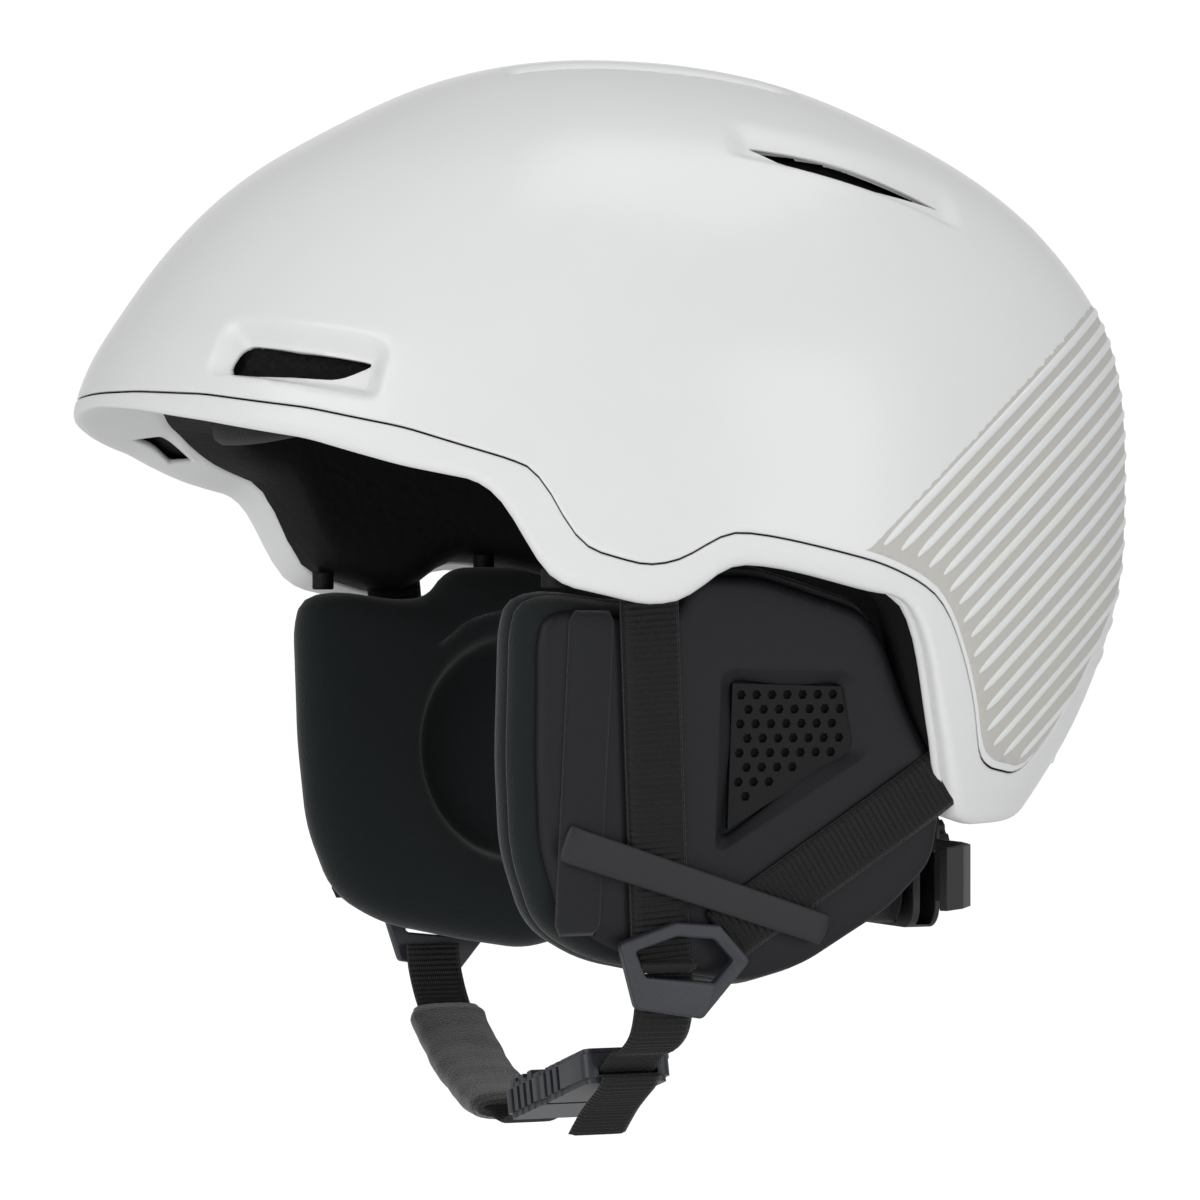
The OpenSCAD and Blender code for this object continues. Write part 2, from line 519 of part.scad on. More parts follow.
// ---- Goggle clip at the back ----
clip_t = station_at(-18);
clip_at = skin(clip_t, 180);
clip_lean = -acos(outward(clip_t, 180)[1]);
module at_back() { translate([0, clip_at[1], clip_at[2]]) rotate([clip_lean, 0, 0]) children(); }
hinge_z = 17;
hinge_y = 4.2;
module goggle_clip_base() {
    color("gainsboro") at_back() difference() {
        union() {
            translate([-13, -1, 9]) cube([26, 2.2, 14]);
            for (x = [-13, 9]) translate([x, 0, hinge_z - 3.2]) cube([4, hinge_y + 2.6, 6.4]);
            translate([-6, -1, -22]) cube([12, 3, 9]);
        }
        translate([-20, hinge_y, hinge_z]) rotate([0, 90, 0]) cylinder(r = 1.25, h = 40, $fn = 32);
    }
}
module goggle_clip() {
    color("white") at_back() difference() {
        union() {
            translate([-8.7, hinge_y, hinge_z]) rotate([0, 90, 0]) cylinder(r = 2.6, h = 17.4, $fn = 48);
            translate([-8.7, hinge_y - 1, -16]) cube([17.4, 2.6, hinge_z + 16]);
            translate([-8.7, hinge_y - 1, -26]) cube([17.4, 4.6, 10]);
        }
        translate([-20, hinge_y, hinge_z]) rotate([0, 90, 0]) cylinder(r = 1.3, h = 40, $fn = 32);
    }
}
module goggle_clip_pin() {
    color("silver") at_back() translate([-13, hinge_y, hinge_z]) rotate([0, 90, 0]) cylinder(r = 1.25, h = 26, $fn = 32);
}

top_shell();
lower_shell();
eps_liner();
vent_screens();
brow_pad();
crown_pad();
side_pads();
nape_pad();
fit_band_left();
fit_band_right();
cradle_housing();
cradle_cover();
cradle_hanger();
dial_pinion();
fit_dial();
dial_screw();
ear_cushion_left();
ear_cushion_right();
ear_cover_left();
ear_cover_right();
ear_grille_left();
ear_grille_right();
ear_stud_left();
ear_stud_right();
front_strap_left();
front_strap_right();
rear_strap_left();
rear_strap_right();
strap_keeper_left();
strap_keeper_right();
divider_left();
divider_right();
chin_strap_left();
chin_strap_right();
chin_sleeve();
buckle_socket();
buckle_tongue();
release_tab();
socket_magnet();
tongue_magnet();
goggle_clip_base();
goggle_clip();
goggle_clip_pin();
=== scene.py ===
# Ski helmet: a two-piece hard shell on a foam liner, ear pads, a rear fit dial, webbing straps and a buckle.
# Metres. The front faces -Y, the wearer's left is +X, and z = 0 is at the temples.
import math

import bmesh
import bpy
from mathutils import Matrix, Vector


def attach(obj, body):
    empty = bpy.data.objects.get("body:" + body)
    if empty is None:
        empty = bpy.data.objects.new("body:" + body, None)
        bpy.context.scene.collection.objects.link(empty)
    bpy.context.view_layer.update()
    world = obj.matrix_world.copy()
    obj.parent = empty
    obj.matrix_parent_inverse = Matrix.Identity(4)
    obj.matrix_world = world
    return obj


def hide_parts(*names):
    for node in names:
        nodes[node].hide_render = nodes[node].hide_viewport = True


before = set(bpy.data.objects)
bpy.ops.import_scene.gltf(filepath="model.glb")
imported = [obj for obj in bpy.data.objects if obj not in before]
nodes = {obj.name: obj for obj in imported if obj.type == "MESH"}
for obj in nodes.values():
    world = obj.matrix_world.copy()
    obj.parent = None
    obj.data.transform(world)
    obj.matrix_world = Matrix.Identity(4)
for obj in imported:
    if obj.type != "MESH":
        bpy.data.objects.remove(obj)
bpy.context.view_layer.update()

# ---------------------------------------------------------------------------------------------------------
# The studio: a long lens level with the temples, a pale sweep far below and behind, and large soft lights.
VIEW_AZIMUTH = math.radians(68)
VIEW_DISTANCE = 1.3
lens = bpy.data.cameras.new("camera")
lens.sensor_width = 36
lens.lens = 146.25
camera = bpy.data.objects.new("camera", lens)
bpy.context.scene.collection.objects.link(camera)
camera.location = VIEW_DISTANCE * Vector((math.sin(VIEW_AZIMUTH), -math.cos(VIEW_AZIMUTH), 0))
camera.rotation_euler = (math.radians(90), 0, VIEW_AZIMUTH)
bpy.context.scene.camera = camera

world = bpy.data.worlds.new("studio")
world.use_nodes = True
sky = world.node_tree
toward = sky.nodes.new("ShaderNodeTexCoord")
facing = sky.nodes.new("ShaderNodeVectorMath")
facing.operation = "DOT_PRODUCT"
facing.inputs[1].default_value = (-math.sin(VIEW_AZIMUTH), math.cos(VIEW_AZIMUTH), 0)
sky.links.new(toward.outputs["Generated"], facing.inputs[0])
sweep_edge = sky.nodes.new("ShaderNodeMapRange")
sweep_edge.inputs["From Min"].default_value = 0.90
sweep_edge.inputs["From Max"].default_value = 0.975
sweep_edge.inputs["To Min"].default_value = 0.42
sweep_edge.inputs["To Max"].default_value = 1.05
sky.links.new(facing.outputs["Value"], sweep_edge.inputs["Value"])
sky.links.new(sweep_edge.outputs["Result"], sky.nodes["Background"].inputs["Strength"])
sky.nodes["Background"].inputs["Color"].default_value = (1, 1, 1, 1)
bpy.context.scene.world = world
bpy.context.scene.view_settings.view_transform = "Standard"

FLOOR_Z = -0.6
bm = bmesh.new()
bmesh.ops.create_circle(bm, cap_ends=True, segments=96, radius=2.6, matrix=Matrix.Translation((0, 0, FLOOR_Z)))
floor_mesh = bpy.data.meshes.new("floor")
bm.to_mesh(floor_mesh)
bm.free()
floor = bpy.data.objects.new("floor", floor_mesh)
bpy.context.scene.collection.objects.link(floor)
floor_paint = bpy.data.materials.new("floor_paint")
floor_paint.use_nodes = True
floor_shader = floor_paint.node_tree.nodes["Principled BSDF"]
floor_shader.inputs["Base Color"].default_value = (0.92, 0.92, 0.92, 1)
floor_shader.inputs["Roughness"].default_value = 0.9
floor_mesh.materials.append(floor_paint)


def soft_light(name, place, aim, size, power):
    """A large square panel light that stands at place and points at aim."""
    data = bpy.data.lights.new(name, "AREA")
    data.shape = "RECTANGLE"
    data.size, data.size_y = size
    data.energy = power
    panel = bpy.data.objects.new(name, data)
    bpy.context.scene.collection.objects.link(panel)
    panel.location = place
    panel.rotation_euler = (Vector(aim) - Vector(place)).to_track_quat("-Z", "Y").to_euler()


soft_light("key", (0.9, -1.7, 0.6), (0, 0, 0), (1.3, 1.3), 11)
soft_light("top", (0.2, 0.5, 1.9), (0, 0, 0), (1.2, 1.2), 8)
soft_light("side", (1.9, 1.1, 0.1), (0, 0, 0), (0.7, 1.6), 8)
soft_light("low", (1.2, -0.6, -0.55), (0, 0, -0.05), (1.4, 0.6), 4)


# ---------------------------------------------------------------------------------------------------------
# Upper shell: white polycarbonate in a satin clear coat, vacuum formed. Its vents are hooded: the skin dips
# behind each opening's upper edge, and the lower edge stays proud. Its finish comes first, then its skin.
class Sock:
    """A shader socket or number with arithmetic that adds Math nodes."""

    def __init__(self, paint, value):
        self.paint, self.value = paint, value

    def maths(self, operation, *others):
        values = [self.value] + [o.value if isinstance(o, Sock) else o for o in others]
        return self.paint.node("ShaderNodeMath", {"operation": operation}, dict(enumerate(values)))

    def __add__(self, other):
        return self.maths("ADD", other)

    __radd__ = __add__

    def __mul__(self, other):
        return self.maths("MULTIPLY", other)

    __rmul__ = __mul__

    def sin(self):
        return self.maths("SINE")

    def step(self, low, high):
        """0 below low, 1 above high, eased between."""
        return self.paint.node("ShaderNodeMapRange", {"interpolation_type": "SMOOTHSTEP"},
                               {"Value": self.value, "From Min": low, "From Max": high})


class Paint:
    """One material: its node tree, its Principled shader and the nodes that feed it."""

    def __init__(self, name, color, roughness, metallic=0.0, **fixed):
        self.material = bpy.data.materials.new(name)
        self.material.use_nodes = True
        self.tree = self.material.node_tree
        self.shader = self.tree.nodes["Principled BSDF"]
        self.set("Base Color", (*color, 1))
        self.set("Roughness", roughness)
        self.set("Metallic", metallic)
        for key, value in fixed.items():
            self.set(key.replace("_", " "), value)

    def set(self, socket, value):
        if isinstance(value, Sock):
            self.tree.links.new(value.value, self.shader.inputs[socket])
        else:
            self.shader.inputs[socket].default_value = value

    def node(self, kind, settings=None, sockets=None, out=0):
        """Adds a node: its settings first, then its sockets, and gives back one output."""
        node = self.tree.nodes.new(kind)
        for key, value in (settings or {}).items():
            setattr(node, key, value)
        for key, value in (sockets or {}).items():
            if isinstance(value, Sock):
                value = value.value
            if isinstance(value, bpy.types.NodeSocket):
                self.tree.links.new(value, node.inputs[key])
            else:
                node.inputs[key].default_value = value
        return Sock(self, node.outputs[out])

    def place(self):
        """The object's own coordinates, which are metres in the helmet's frame."""
        return self.node("ShaderNodeTexCoord", out="Object")

    def map_uv(self):
        return self.node("ShaderNodeTexCoord", out="UV")

    def part(self, vector, axis):
        return self.node("ShaderNodeSeparateXYZ", None, {"Vector": vector}, out=axis)

    def noise(self, scale, detail=3.0, vector=None, rough=0.5):
        return self.node("ShaderNodeTexNoise", None, {"Vector": vector or self.place(), "Scale": scale,
                                                      "Detail": detail, "Roughness": rough})

    def mix(self, mask, low, high):
        node = self.tree.nodes.new("ShaderNodeMix")
        node.data_type = "RGBA"
        self.tree.links.new(mask.value, node.inputs["Factor"])
        for socket, value in (("A", low), ("B", high)):
            target = [s for s in node.inputs if s.name == socket and s.type == "RGBA"][0]
            if isinstance(value, Sock):
                self.tree.links.new(value.value, target)
            else:
                target.default_value = (*value, 1)
        return Sock(self, [s for s in node.outputs if s.type == "RGBA"][0])

    def relief(self, height, depth):
        """Bump of the given depth in metres."""
        bump = self.node("ShaderNodeBump", None, {"Strength": 1.0, "Distance": depth, "Height": height})
        self.set("Normal", bump)


def shade(color, factor):
    return tuple(c * factor for c in color)


# The skin is lofted through stations from the crown to the nape, on a rounded-square plan: height, front reach,
# rear reach and half width in mm. Both hard shells, the foam and the pads are drawn on it, so they nest.
STATIONS = [(143, 0, 0, 0), (141.5, 24, 25, 20), (136, 47, 50, 41), (126, 69, 74, 62), (112, 93, 100, 81),
            (96, 111, 120, 94), (76, 126.5, 135, 104), (56, 138, 141, 109), (30, 143, 142, 111), (0, 142, 139.5, 110),
            (-32, 134, 127, 106), (-62, 122, 106, 99), (-90, 108, 84, 90)]
LAST = len(STATIONS) - 1
PLAN_ROUND = 2 / 2.25

# The lower edge of the helmet and the seam above it: plan angle in degrees from the front, and height in mm.
RIM = [(0, 49), (12, 47), (26, 43), (42, 38), (54, 31), (63, 27), (66, 20), (69, 6), (71, 2), (75, 0), (80, -3),
       (84, -1), (86, 5), (88, 8), (92, 6), (101, 0), (104, -1), (106, -6), (108, -15), (111, -30), (116, -45),
       (122, -57), (130, -59), (180, -60)]
SEAM = [(0, 53), (12, 52.5), (26, 51), (42, 47), (54, 42), (66, 34), (69, 31), (71, 21), (73, 13), (77, 10), (80, 8),
        (84, 11), (86, 16), (88, 17), (101, 9), (106, 4), (109, -1), (113, -15), (120, -39), (124, -43), (132, -45),
        (136, -42), (141, -25), (147, -8), (154, 4), (162, 10), (180, 12)]
CORNER_EASE = 1.6


def station(k):
    if k < 0:
        return (STATIONS[1][0],) + tuple(-v for v in STATIONS[1][1:])
    if k > LAST:
        return tuple(2 * a - b for a, b in zip(STATIONS[LAST], STATIONS[LAST - 1]))
    return STATIONS[k]


def section(t):
    """Height, front reach, rear reach and half width at station t, in mm."""
    i = min(max(math.floor(t), 0), LAST - 1)
    u = t - i
    return [(2 * b + (c - a) * u + (2 * a - 5 * b + 4 * c - d) * u * u + (3 * b - a - 3 * c + d) * u ** 3) / 2
            for a, b, c, d in zip(station(i - 1), station(i), station(i + 1), station(i + 2))]


def skin(t, angle):
    """A point of the skin, in mm. angle is in degrees from the front towards the wearer's left."""
    z, front, rear, half = section(t)
    s, c = math.sin(math.radians(angle)), math.cos(math.radians(angle))
    x = half * math.copysign(abs(s) ** PLAN_ROUND, s)
    y = -(front if c > 0 else rear) * math.copysign(abs(c) ** PLAN_ROUND, c)
    return Vector((x, y, z))


def outward(t, angle):
    t = max(t, 0.05)
    down = skin(t + 0.02, angle) - skin(t - 0.02, angle)
    around = skin(t, angle + 0.5) - skin(t, angle - 0.5)
    return down.cross(around).normalized()


def station_at(z):
    low, high = 0.05, float(LAST)
    for _ in range(24):
        mid = (low + high) / 2
        low, high = (mid, high) if section(mid)[0] > z else (low, mid)
    return (low + high) / 2


def along(table, angle):
    """The height of a rim or seam at a plan angle, with its corners eased."""
    total = 0.0
    for step in range(-2, 3):
        a = abs((angle + step * CORNER_EASE / 2 + 180) % 360 - 180)
        k = max(i for i in range(len(table) - 1) if table[i][0] <= a)
        (a0, z0), (a1, z1) = table[k], table[k + 1]
        total += z0 + (z1 - z0) * (a - a0) / (a1 - a0)
    return total / 5


def smooth(x):
    x = min(max(x, 0.0), 1.0)
    return x * x * (3 - 2 * x)


MM = 0.001


def new_piece(name, bm, paint, body, slot, *stands_for, angle=None):
    """Makes an object of a bmesh in mm, in the helmet's frame, and has it ride and replace."""
    bmesh.ops.scale(bm, vec=(MM, MM, MM), verts=bm.verts)
    mesh = bpy.data.meshes.new(name)
    bm.to_mesh(mesh)
    bm.free()
    piece = bpy.data.objects.new(name, mesh)
    bpy.context.scene.collection.objects.link(piece)
    if paint:
        mesh.materials.append(paint.material)
    if angle is None:
        mesh.shade_smooth()
    else:
        mesh.set_sharp_from_angle(angle=math.radians(angle))
    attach(piece, body)
    if stands_for:
        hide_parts(*stands_for)
    return piece


WHITE = (0.86, 0.865, 0.87)
upper_paint = Paint("upper_white", WHITE, 0.34, Coat_Weight=0.35, Coat_Roughness=0.22, Specular_IOR_Level=0.42)
mottle = upper_paint.noise(60, 2)
upper_paint.set("Base Color", upper_paint.mix(mottle, shade(WHITE, 0.985), shade(WHITE, 1.01)))
upper_paint.set("Roughness", 0.31 + 0.06 * upper_paint.noise(240, 2))
upper_paint.relief(upper_paint.noise(700, 2), 0.00002)

SHELL_WALL = 1.6
SEAM_GAP = 0.35
SEAM_ROUND = 0.6
COLUMNS = 288
ROWS = 62
EDGE_ROWS = (2.0, 0.6, 0.2, 0.0)


def seam_edge(seam_z, back, way, angle):
    """A point of the skin near the seam, with the sheet's edge rounded: back mm above it (way 1) or below it (-1)."""
    t = station_at(seam_z + way * back)
    curl = SEAM_ROUND - math.sqrt(max(SEAM_ROUND ** 2 - max(SEAM_ROUND - back, 0) ** 2, 0))
    return skin(t, angle) - curl * outward(t, angle)


def cut_opening(bm, corners, way, reach):
    """Cuts a convex opening out of a shell: corners in mm run clockwise or anticlockwise, seen along way.

    Gives back the edges round the opening."""
    middle = sum(corners, Vector()) / len(corners)
    inside = [f for f in bm.faces if (f.calc_center_median() - middle).length < reach and f.normal.dot(way) > 0]
    for first, second in zip(corners, corners[1:] + corners[:1]):
        away = (second - first).cross(way).normalized()
        if away.dot(middle - first) > 0:
            away = -away
        around = set(inside)
        geom = list(around) + list({e for f in around for e in f.edges}) + list({v for f in around for v in f.verts})
        done = bmesh.ops.bisect_plane(bm, geom=geom, dist=1e-5, plane_co=first, plane_no=away)
        inside = [f for f in done["geom"] if isinstance(f, bmesh.types.BMFace)
                  and (f.calc_center_median() - first).dot(away) < 0]
    cut = set(inside)
    edges = [e for f in cut for e in f.edges if sum(g in cut for g in e.link_faces) == 1]
    rim_points = {tuple(v.co) for e in edges for v in e.verts}
    bmesh.ops.delete(bm, geom=inside, context="FACES")
    return [e for e in bm.edges if e.is_boundary and all(tuple(v.co) in rim_points for v in e.verts)]


def turn_in(bm, ring, way, steps, middle):
    """Draws the edges of an opening inwards along way: steps are (depth, how far towards the middle) in mm."""
    for depth, narrower in steps:
        made = bmesh.ops.extrude_edge_only(bm, edges=ring)["geom"]
        for v in [g for g in made if isinstance(g, bmesh.types.BMVert)]:
            flat = middle - v.co
            flat -= flat.dot(way) * way
            v.co += -depth * way + narrower * flat.normalized()
        ring = [g for g in made if isinstance(g, bmesh.types.BMEdge) and g.is_boundary]


def round_corners(corners, radius, steps=4):
    """A convex outline with its corners rounded."""
    out = []
    for before, here, after in zip(corners[-1:] + corners[:-1], corners, corners[1:] + corners[:1]):
        a, b = (before - here), (after - here)
        reach = min(radius, a.length * 0.45, b.length * 0.45)
        a, b = here + a.normalized() * reach, here + b.normalized() * reach
        out += [(1 - u) ** 2 * a + 2 * u * (1 - u) * here + u * u * b for u in [i / steps for i in range(steps + 1)]]
    return out


VENT_ROUND = 3.5


# Every opening: its corners in mm, the way it faces, how far above it the hood reaches, how deep the hood dips,
# and the edge (by corner numbers) that is its upper one.
def vent(corners, way, hood, dip, upper):
    corners = [Vector(c) for c in corners]
    way = Vector(way).normalized()
    start, end = corners[upper[0]], corners[upper[1]]
    run = (end - start).normalized()
    up = way.cross(run).normalized()
    if up.z < 0:
        up = -up
    middle = sum(corners, Vector()) / len(corners)
    heights = [(c - start).dot(up) for c in corners]
    return {"corners": corners, "way": way, "hood": hood, "dip": dip, "start": start, "run": run, "up": up,
            "middle": middle, "across": (end - start).length, "low": min(heights), "high": max(heights),
            "reach": max((c - middle).length for c in corners) + hood + 6}


VENTS = [
    vent([(56, -121, 65), (84, -95, 59), (78, -102, 54.5), (55, -124, 56.5)], (0.5, -0.8, 0.33), 7, 4.6, (0, 1)),
    vent([(76.5, 8, 114.5), (78.4, 34, 111.4), (80, 63, 100), (83.5, 40, 104.4), (82, 18, 109.4)],
         (0.72, 0.2, 0.66), 13, 1.1, (0, 2)),
    vent([(27, -33, 137.5), (33, 8, 138.5), (41, 34, 133), (38.5, 8, 137), (33, -14, 137.8)],
         (0.2, 0, 1), 9, 4.0, (0, 2)),
    vent([(24, 121, 96), (46, 114, 92), (43, 117, 87), (24, 123, 90)], (0.2, 0.9, 0.4), 9, 4.6, (0, 1)),
]
MIRROR = Matrix.Diagonal((-1, 1, 1))


def mirrored(v):
    twin = dict(v)
    for key in ("way", "start", "run", "up", "middle"):
        twin[key] = MIRROR @ v[key]
    twin["corners"] = [MIRROR @ c for c in v["corners"]]
    return twin


VENTS += [mirrored(v) for v in VENTS]


def hood_dip(v, point):
    """How far the skin sinks behind a vent's upper edge, at a point of the skin."""
    out = point - v["start"]
    x, y = out.dot(v["run"]), out.dot(v["up"])
    across, low = v["across"], v["low"]
    if y > v["hood"] or y < low - 1.5 or x < -7 or x > across + 7:
        return 0.0
    ends = smooth((x + 6) / 8) * smooth((across + 6 - x) / 8)
    rise = 1 - smooth((y - v["high"] * 0.2) / v["hood"]) if y > 0 else 1.0
    foot = smooth((y - low + 1.2) / 2.4)
    return v["dip"] * ends * rise * foot


def weld(bm, gap):
    """Merges points closer than gap, in mm, and turns every face outwards."""
    bmesh.ops.remove_doubles(bm, verts=bm.verts, dist=gap)
    bmesh.ops.recalc_face_normals(bm, faces=bm.faces)


def give_wall(piece, wall):
    """Thickens a sheet inwards by wall, in mm."""
    thick = piece.modifiers.new("wall", "SOLIDIFY")
    thick.thickness = wall * MM
    thick.offset = -1


bm = bmesh.new()
bmesh.ops.create_grid(bm, x_segments=COLUMNS, y_segments=ROWS, size=1)
ends = {}
for v in bm.verts:
    column = round((v.co.x + 1) / 2 * COLUMNS) % COLUMNS
    row = round((v.co.y + 1) / 2 * ROWS)
    angle = column * 360 / COLUMNS
    if column not in ends:
        ends[column] = along(SEAM, angle) + SEAM_GAP / 2
    if row < len(EDGE_ROWS):
        v.co = seam_edge(ends[column], EDGE_ROWS[-1 - row], 1, angle)
    else:
        v.co = skin(station_at(ends[column] + EDGE_ROWS[0]) * (ROWS - row) / (ROWS - len(EDGE_ROWS) + 1), angle)
weld(bm, 0.002)
hooded = set()
for v in VENTS:
    for f in bm.faces:
        out = f.calc_center_median() - v["start"]
        if (f.normal.dot(v["way"]) > 0.2 and v["low"] - 4 < out.dot(v["up"]) < v["hood"] + 3
                and -10 < out.dot(v["run"]) < v["across"] + 10):
            hooded.add(f)
bmesh.ops.subdivide_edges(bm, edges=list({e for f in hooded for e in f.edges}), cuts=2, use_grid_fill=True, smooth=1.0,
                          smooth_falloff="LINEAR")
moved = []
for vert in bm.verts:
    dips = [(hood_dip(v, vert.co), v) for v in VENTS if (vert.co - v["middle"]).length < v["reach"] + 4]
    dip, v = max(dips, key=lambda d: d[0], default=(0, None))
    if dip > 0:
        moved.append((vert, vert.co - dip * v["way"]))
for vert, place in moved:
    vert.co = place
bm.normal_update()
for v in VENTS:
    ring = cut_opening(bm, round_corners(v["corners"], VENT_ROUND), v["way"], v["reach"] - v["hood"])
    turn_in(bm, ring, v["way"], ((0.25, 0.1), (0.6, 0.3)), v["middle"])
bmesh.ops.recalc_face_normals(bm, faces=bm.faces)
give_wall(new_piece("upper_shell", bm, upper_paint, "helmet", "upper_shell", "top_shell"), SHELL_WALL)

# ---------------------------------------------------------------------------------------------------------
# Rear panel: moulded ribs on the upper shell. Each rib lies in a slanting plane, from the seam to the rear
# spine, and the bed between them is painted a darker, warmer grey as painted shade in the grooves, with a duller
# finish.
RIB_PLANE = Vector((-0.268, -0.664, 0.698)).normalized()
RIB_FIRST, RIB_PITCH, RIBS = -41.0, 4.05, 17
RIB_END = 171.0
RIB_SIZE = (2.6, 0.55)
PANEL_START = 98.0


def on_rib(angle, distance):
    """The station where the skin meets a rib's plane, at a plan angle."""
    low, high = 0.4, float(LAST)
    for _ in range(18):
        mid = (low + high) / 2
        low, high = (mid, high) if RIB_PLANE.dot(skin(mid, angle)) > distance else (low, mid)
    return (low + high) / 2


def rib_start(distance, angle=PANEL_START):
    """The plan angle at which a rib rises clear of the seam."""
    while angle < RIB_END - 6 and skin(on_rib(angle, distance), angle).z < along(SEAM, angle) + 3.2:
        angle += 0.5
    return angle


def strip(bm, rings):
    """Joins rings of points by faces. Each ring runs across the strip."""
    rows = [[bm.verts.new(p) for p in ring] for ring in rings]
    for a, b in zip(rows, rows[1:]):
        for quad in zip(a, a[1:], b[1:], b):
            bm.faces.new(quad)
    return rows


def tube(bm, rings, gap):
    """Joins closed rings of points into a capped tube and welds it."""
    rows = strip(bm, [r + [r[0]] for r in rings])
    for row in (rows[0], rows[-1]):
        bm.faces.new(row[:-1])
    weld(bm, gap)


rib_paint = Paint("rib_white", WHITE, 0.4, Coat_Weight=0.2, Coat_Roughness=0.3)
rib_paint.relief(rib_paint.noise(700, 2), 0.00002)
# The bed's darker, warmer grey is painted shade for the grooves between the ribs.
shaded_bed_paint = Paint("rib_bed_painted_shade", (0.60, 0.585, 0.55), 0.6)
for side, word in ((1, "left"), (-1, "right")):
    bm = bmesh.new()
    for number in range(RIBS):
        distance = RIB_FIRST - number * RIB_PITCH
        start = rib_start(distance)
        rings = []
        for k in range(45):
            angle = start + (RIB_END - start) * k / 44
            t = on_rib(angle, distance)
            p, n = skin(t, angle), outward(t, angle)
            across = (RIB_PLANE - RIB_PLANE.dot(n) * n).normalized()
            taper = min(1, k / 1.5, (44 - k) / 4) ** 0.5
            ring = []
            for j in range(9):
                x = -1 + j / 4
                tall = RIB_SIZE[1] * (1 - abs(x) ** 3) * taper - (0.35 if abs(x) == 1 else 0.0) - 0.05
                ring.append(p + across * (x * RIB_SIZE[0] / 2 * (0.35 + 0.65 * taper)) + n * tall)
            rings.append([Vector((q.x * side, q.y, q.z)) for q in ring])
        strip(bm, rings)
    bmesh.ops.recalc_face_normals(bm, faces=bm.faces)
    new_piece("ribs_" + word, bm, rib_paint, "helmet", "upper_shell")
    bm = bmesh.new()
    rings = []
    for k in range(70):
        angle = PANEL_START + (RIB_END + 1 - PANEL_START) * k / 69
        ring = []
        for j in range(60):
            distance = RIB_FIRST + 2.4 - j * (RIBS * RIB_PITCH + 2) / 59
            t = on_rib(angle, distance)
            limit = station_at(along(SEAM, angle) + 2.0)
            p, n = skin(min(t, limit), angle), outward(min(t, limit), angle)
            lift = 0.07 * smooth(min(j, 59 - j) / 2) * smooth(min(k, 69 - k) / 2) - 0.02
            q = p + n * lift
            ring.append(Vector((q.x * side, q.y, q.z)))
        rings.append(ring)
    strip(bm, rings)
    weld(bm, 0.05)
    middle_face = min(bm.faces, key=lambda f: (f.calc_center_median() - Vector((side * 80, 90, 60))).length)
    if middle_face.normal.dot(Vector((side, 1, 0.3))) < 0:
        bmesh.ops.reverse_faces(bm, faces=bm.faces)
    new_piece("rib_bed_painted_shade_" + word, bm, shaded_bed_paint, "helmet", "upper_shell")

# ---------------------------------------------------------------------------------------------------------
# Lower shell: the hard rim, in-moulded below the seam. It rolls round the edge and turns in as a lip under
# the brow, where two small slots draw air from the goggles.
lower_paint = Paint("lower_white", (0.85, 0.855, 0.86), 0.42, Coat_Weight=0.15, Coat_Roughness=0.35)
lower_paint.relief(lower_paint.noise(900, 2), 0.000025)
LIP_WALL = 1.3
LIP = [(0, 26), (30, 22), (60, 11), (98, 9), (104, 4), (121, 4), (128, 11), (150, 9), (180, 8)]


def lip_rise(angle):
    """How far the lip climbs as it turns in, most at the brow."""
    return 3 + 5 * max(0.0, math.cos(math.radians(angle)))


def inward(t, angle):
    n = outward(t, angle)
    return -Vector((n.x, n.y, 0)).normalized()


def face_out(bm):
    """The rim is an open sheet, so its outside is told from the face beside the wearer's left temple."""
    probe = min(bm.faces, key=lambda f: (f.calc_center_median() - Vector((110, 0, 10))).length)
    if probe.normal.x < 0:
        bmesh.ops.reverse_faces(bm, faces=bm.faces)


UP = Vector((0, 0, 1))
bm = bmesh.new()
rings = []
for column in range(COLUMNS):
    angle = column * 360 / COLUMNS
    top_z, low_z = along(SEAM, angle) - SEAM_GAP / 2, along(RIM, angle)
    low = station_at(low_z)
    foot, into = skin(low, angle), inward(low, angle)
    lip = into * along(LIP, angle) + UP * lip_rise(angle)
    round_by = min(5.5, 0.7 * (top_z - low_z))
    ring = []
    for back in (0.0, 0.2, SEAM_ROUND):
        ring.append(seam_edge(top_z, back, -1, angle))
    first, last = station_at(top_z - SEAM_ROUND), station_at(low_z + round_by)
    ring += [skin(first + (last - first) * (k + 1) / 10, angle) for k in range(10)]
    a, b = ring[-1], foot + lip.normalized() * round_by * 1.1
    corner = foot - UP * 0.3
    ring += [(1 - u) ** 2 * a + 2 * u * (1 - u) * corner + u * u * b for u in [(k + 1) / 8 for k in range(8)]]
    tip = foot + lip
    ring += [b + (tip - b) * (k + 1) / 6 for k in range(6)]
    ring += [tip + into * 0.5 + UP * 0.8, tip + into * 0.5 + UP * 4]
    rings.append(ring)
strip(bm, rings + [rings[0]])
weld(bm, 0.002)
face_out(bm)
bm.normal_update()
DOWN = Vector((0, -0.2, -1)).normalized()
for side in (1, -1):
    middle = Vector((side * 71, -99.5, 43))
    run, over = Vector((side * 0.72, 0.69, -0.14)), Vector((side * -0.69, 0.72, 0.3))
    slot_corners = [middle + run * x + over * y for x, y in ((-14, -2.5), (10, -2.5), (14, 3), (-8, 3))]
    ring = cut_opening(bm, round_corners(slot_corners, 1.2), DOWN, 21)
    turn_in(bm, ring, DOWN, ((0.4, 0.15), (1.0, 0.1)), middle)
bmesh.ops.recalc_face_normals(bm, faces=bm.faces)
face_out(bm)
give_wall(new_piece("lower_shell_skin", bm, lower_paint, "helmet", "lower_shell", "lower_shell"), LIP_WALL)

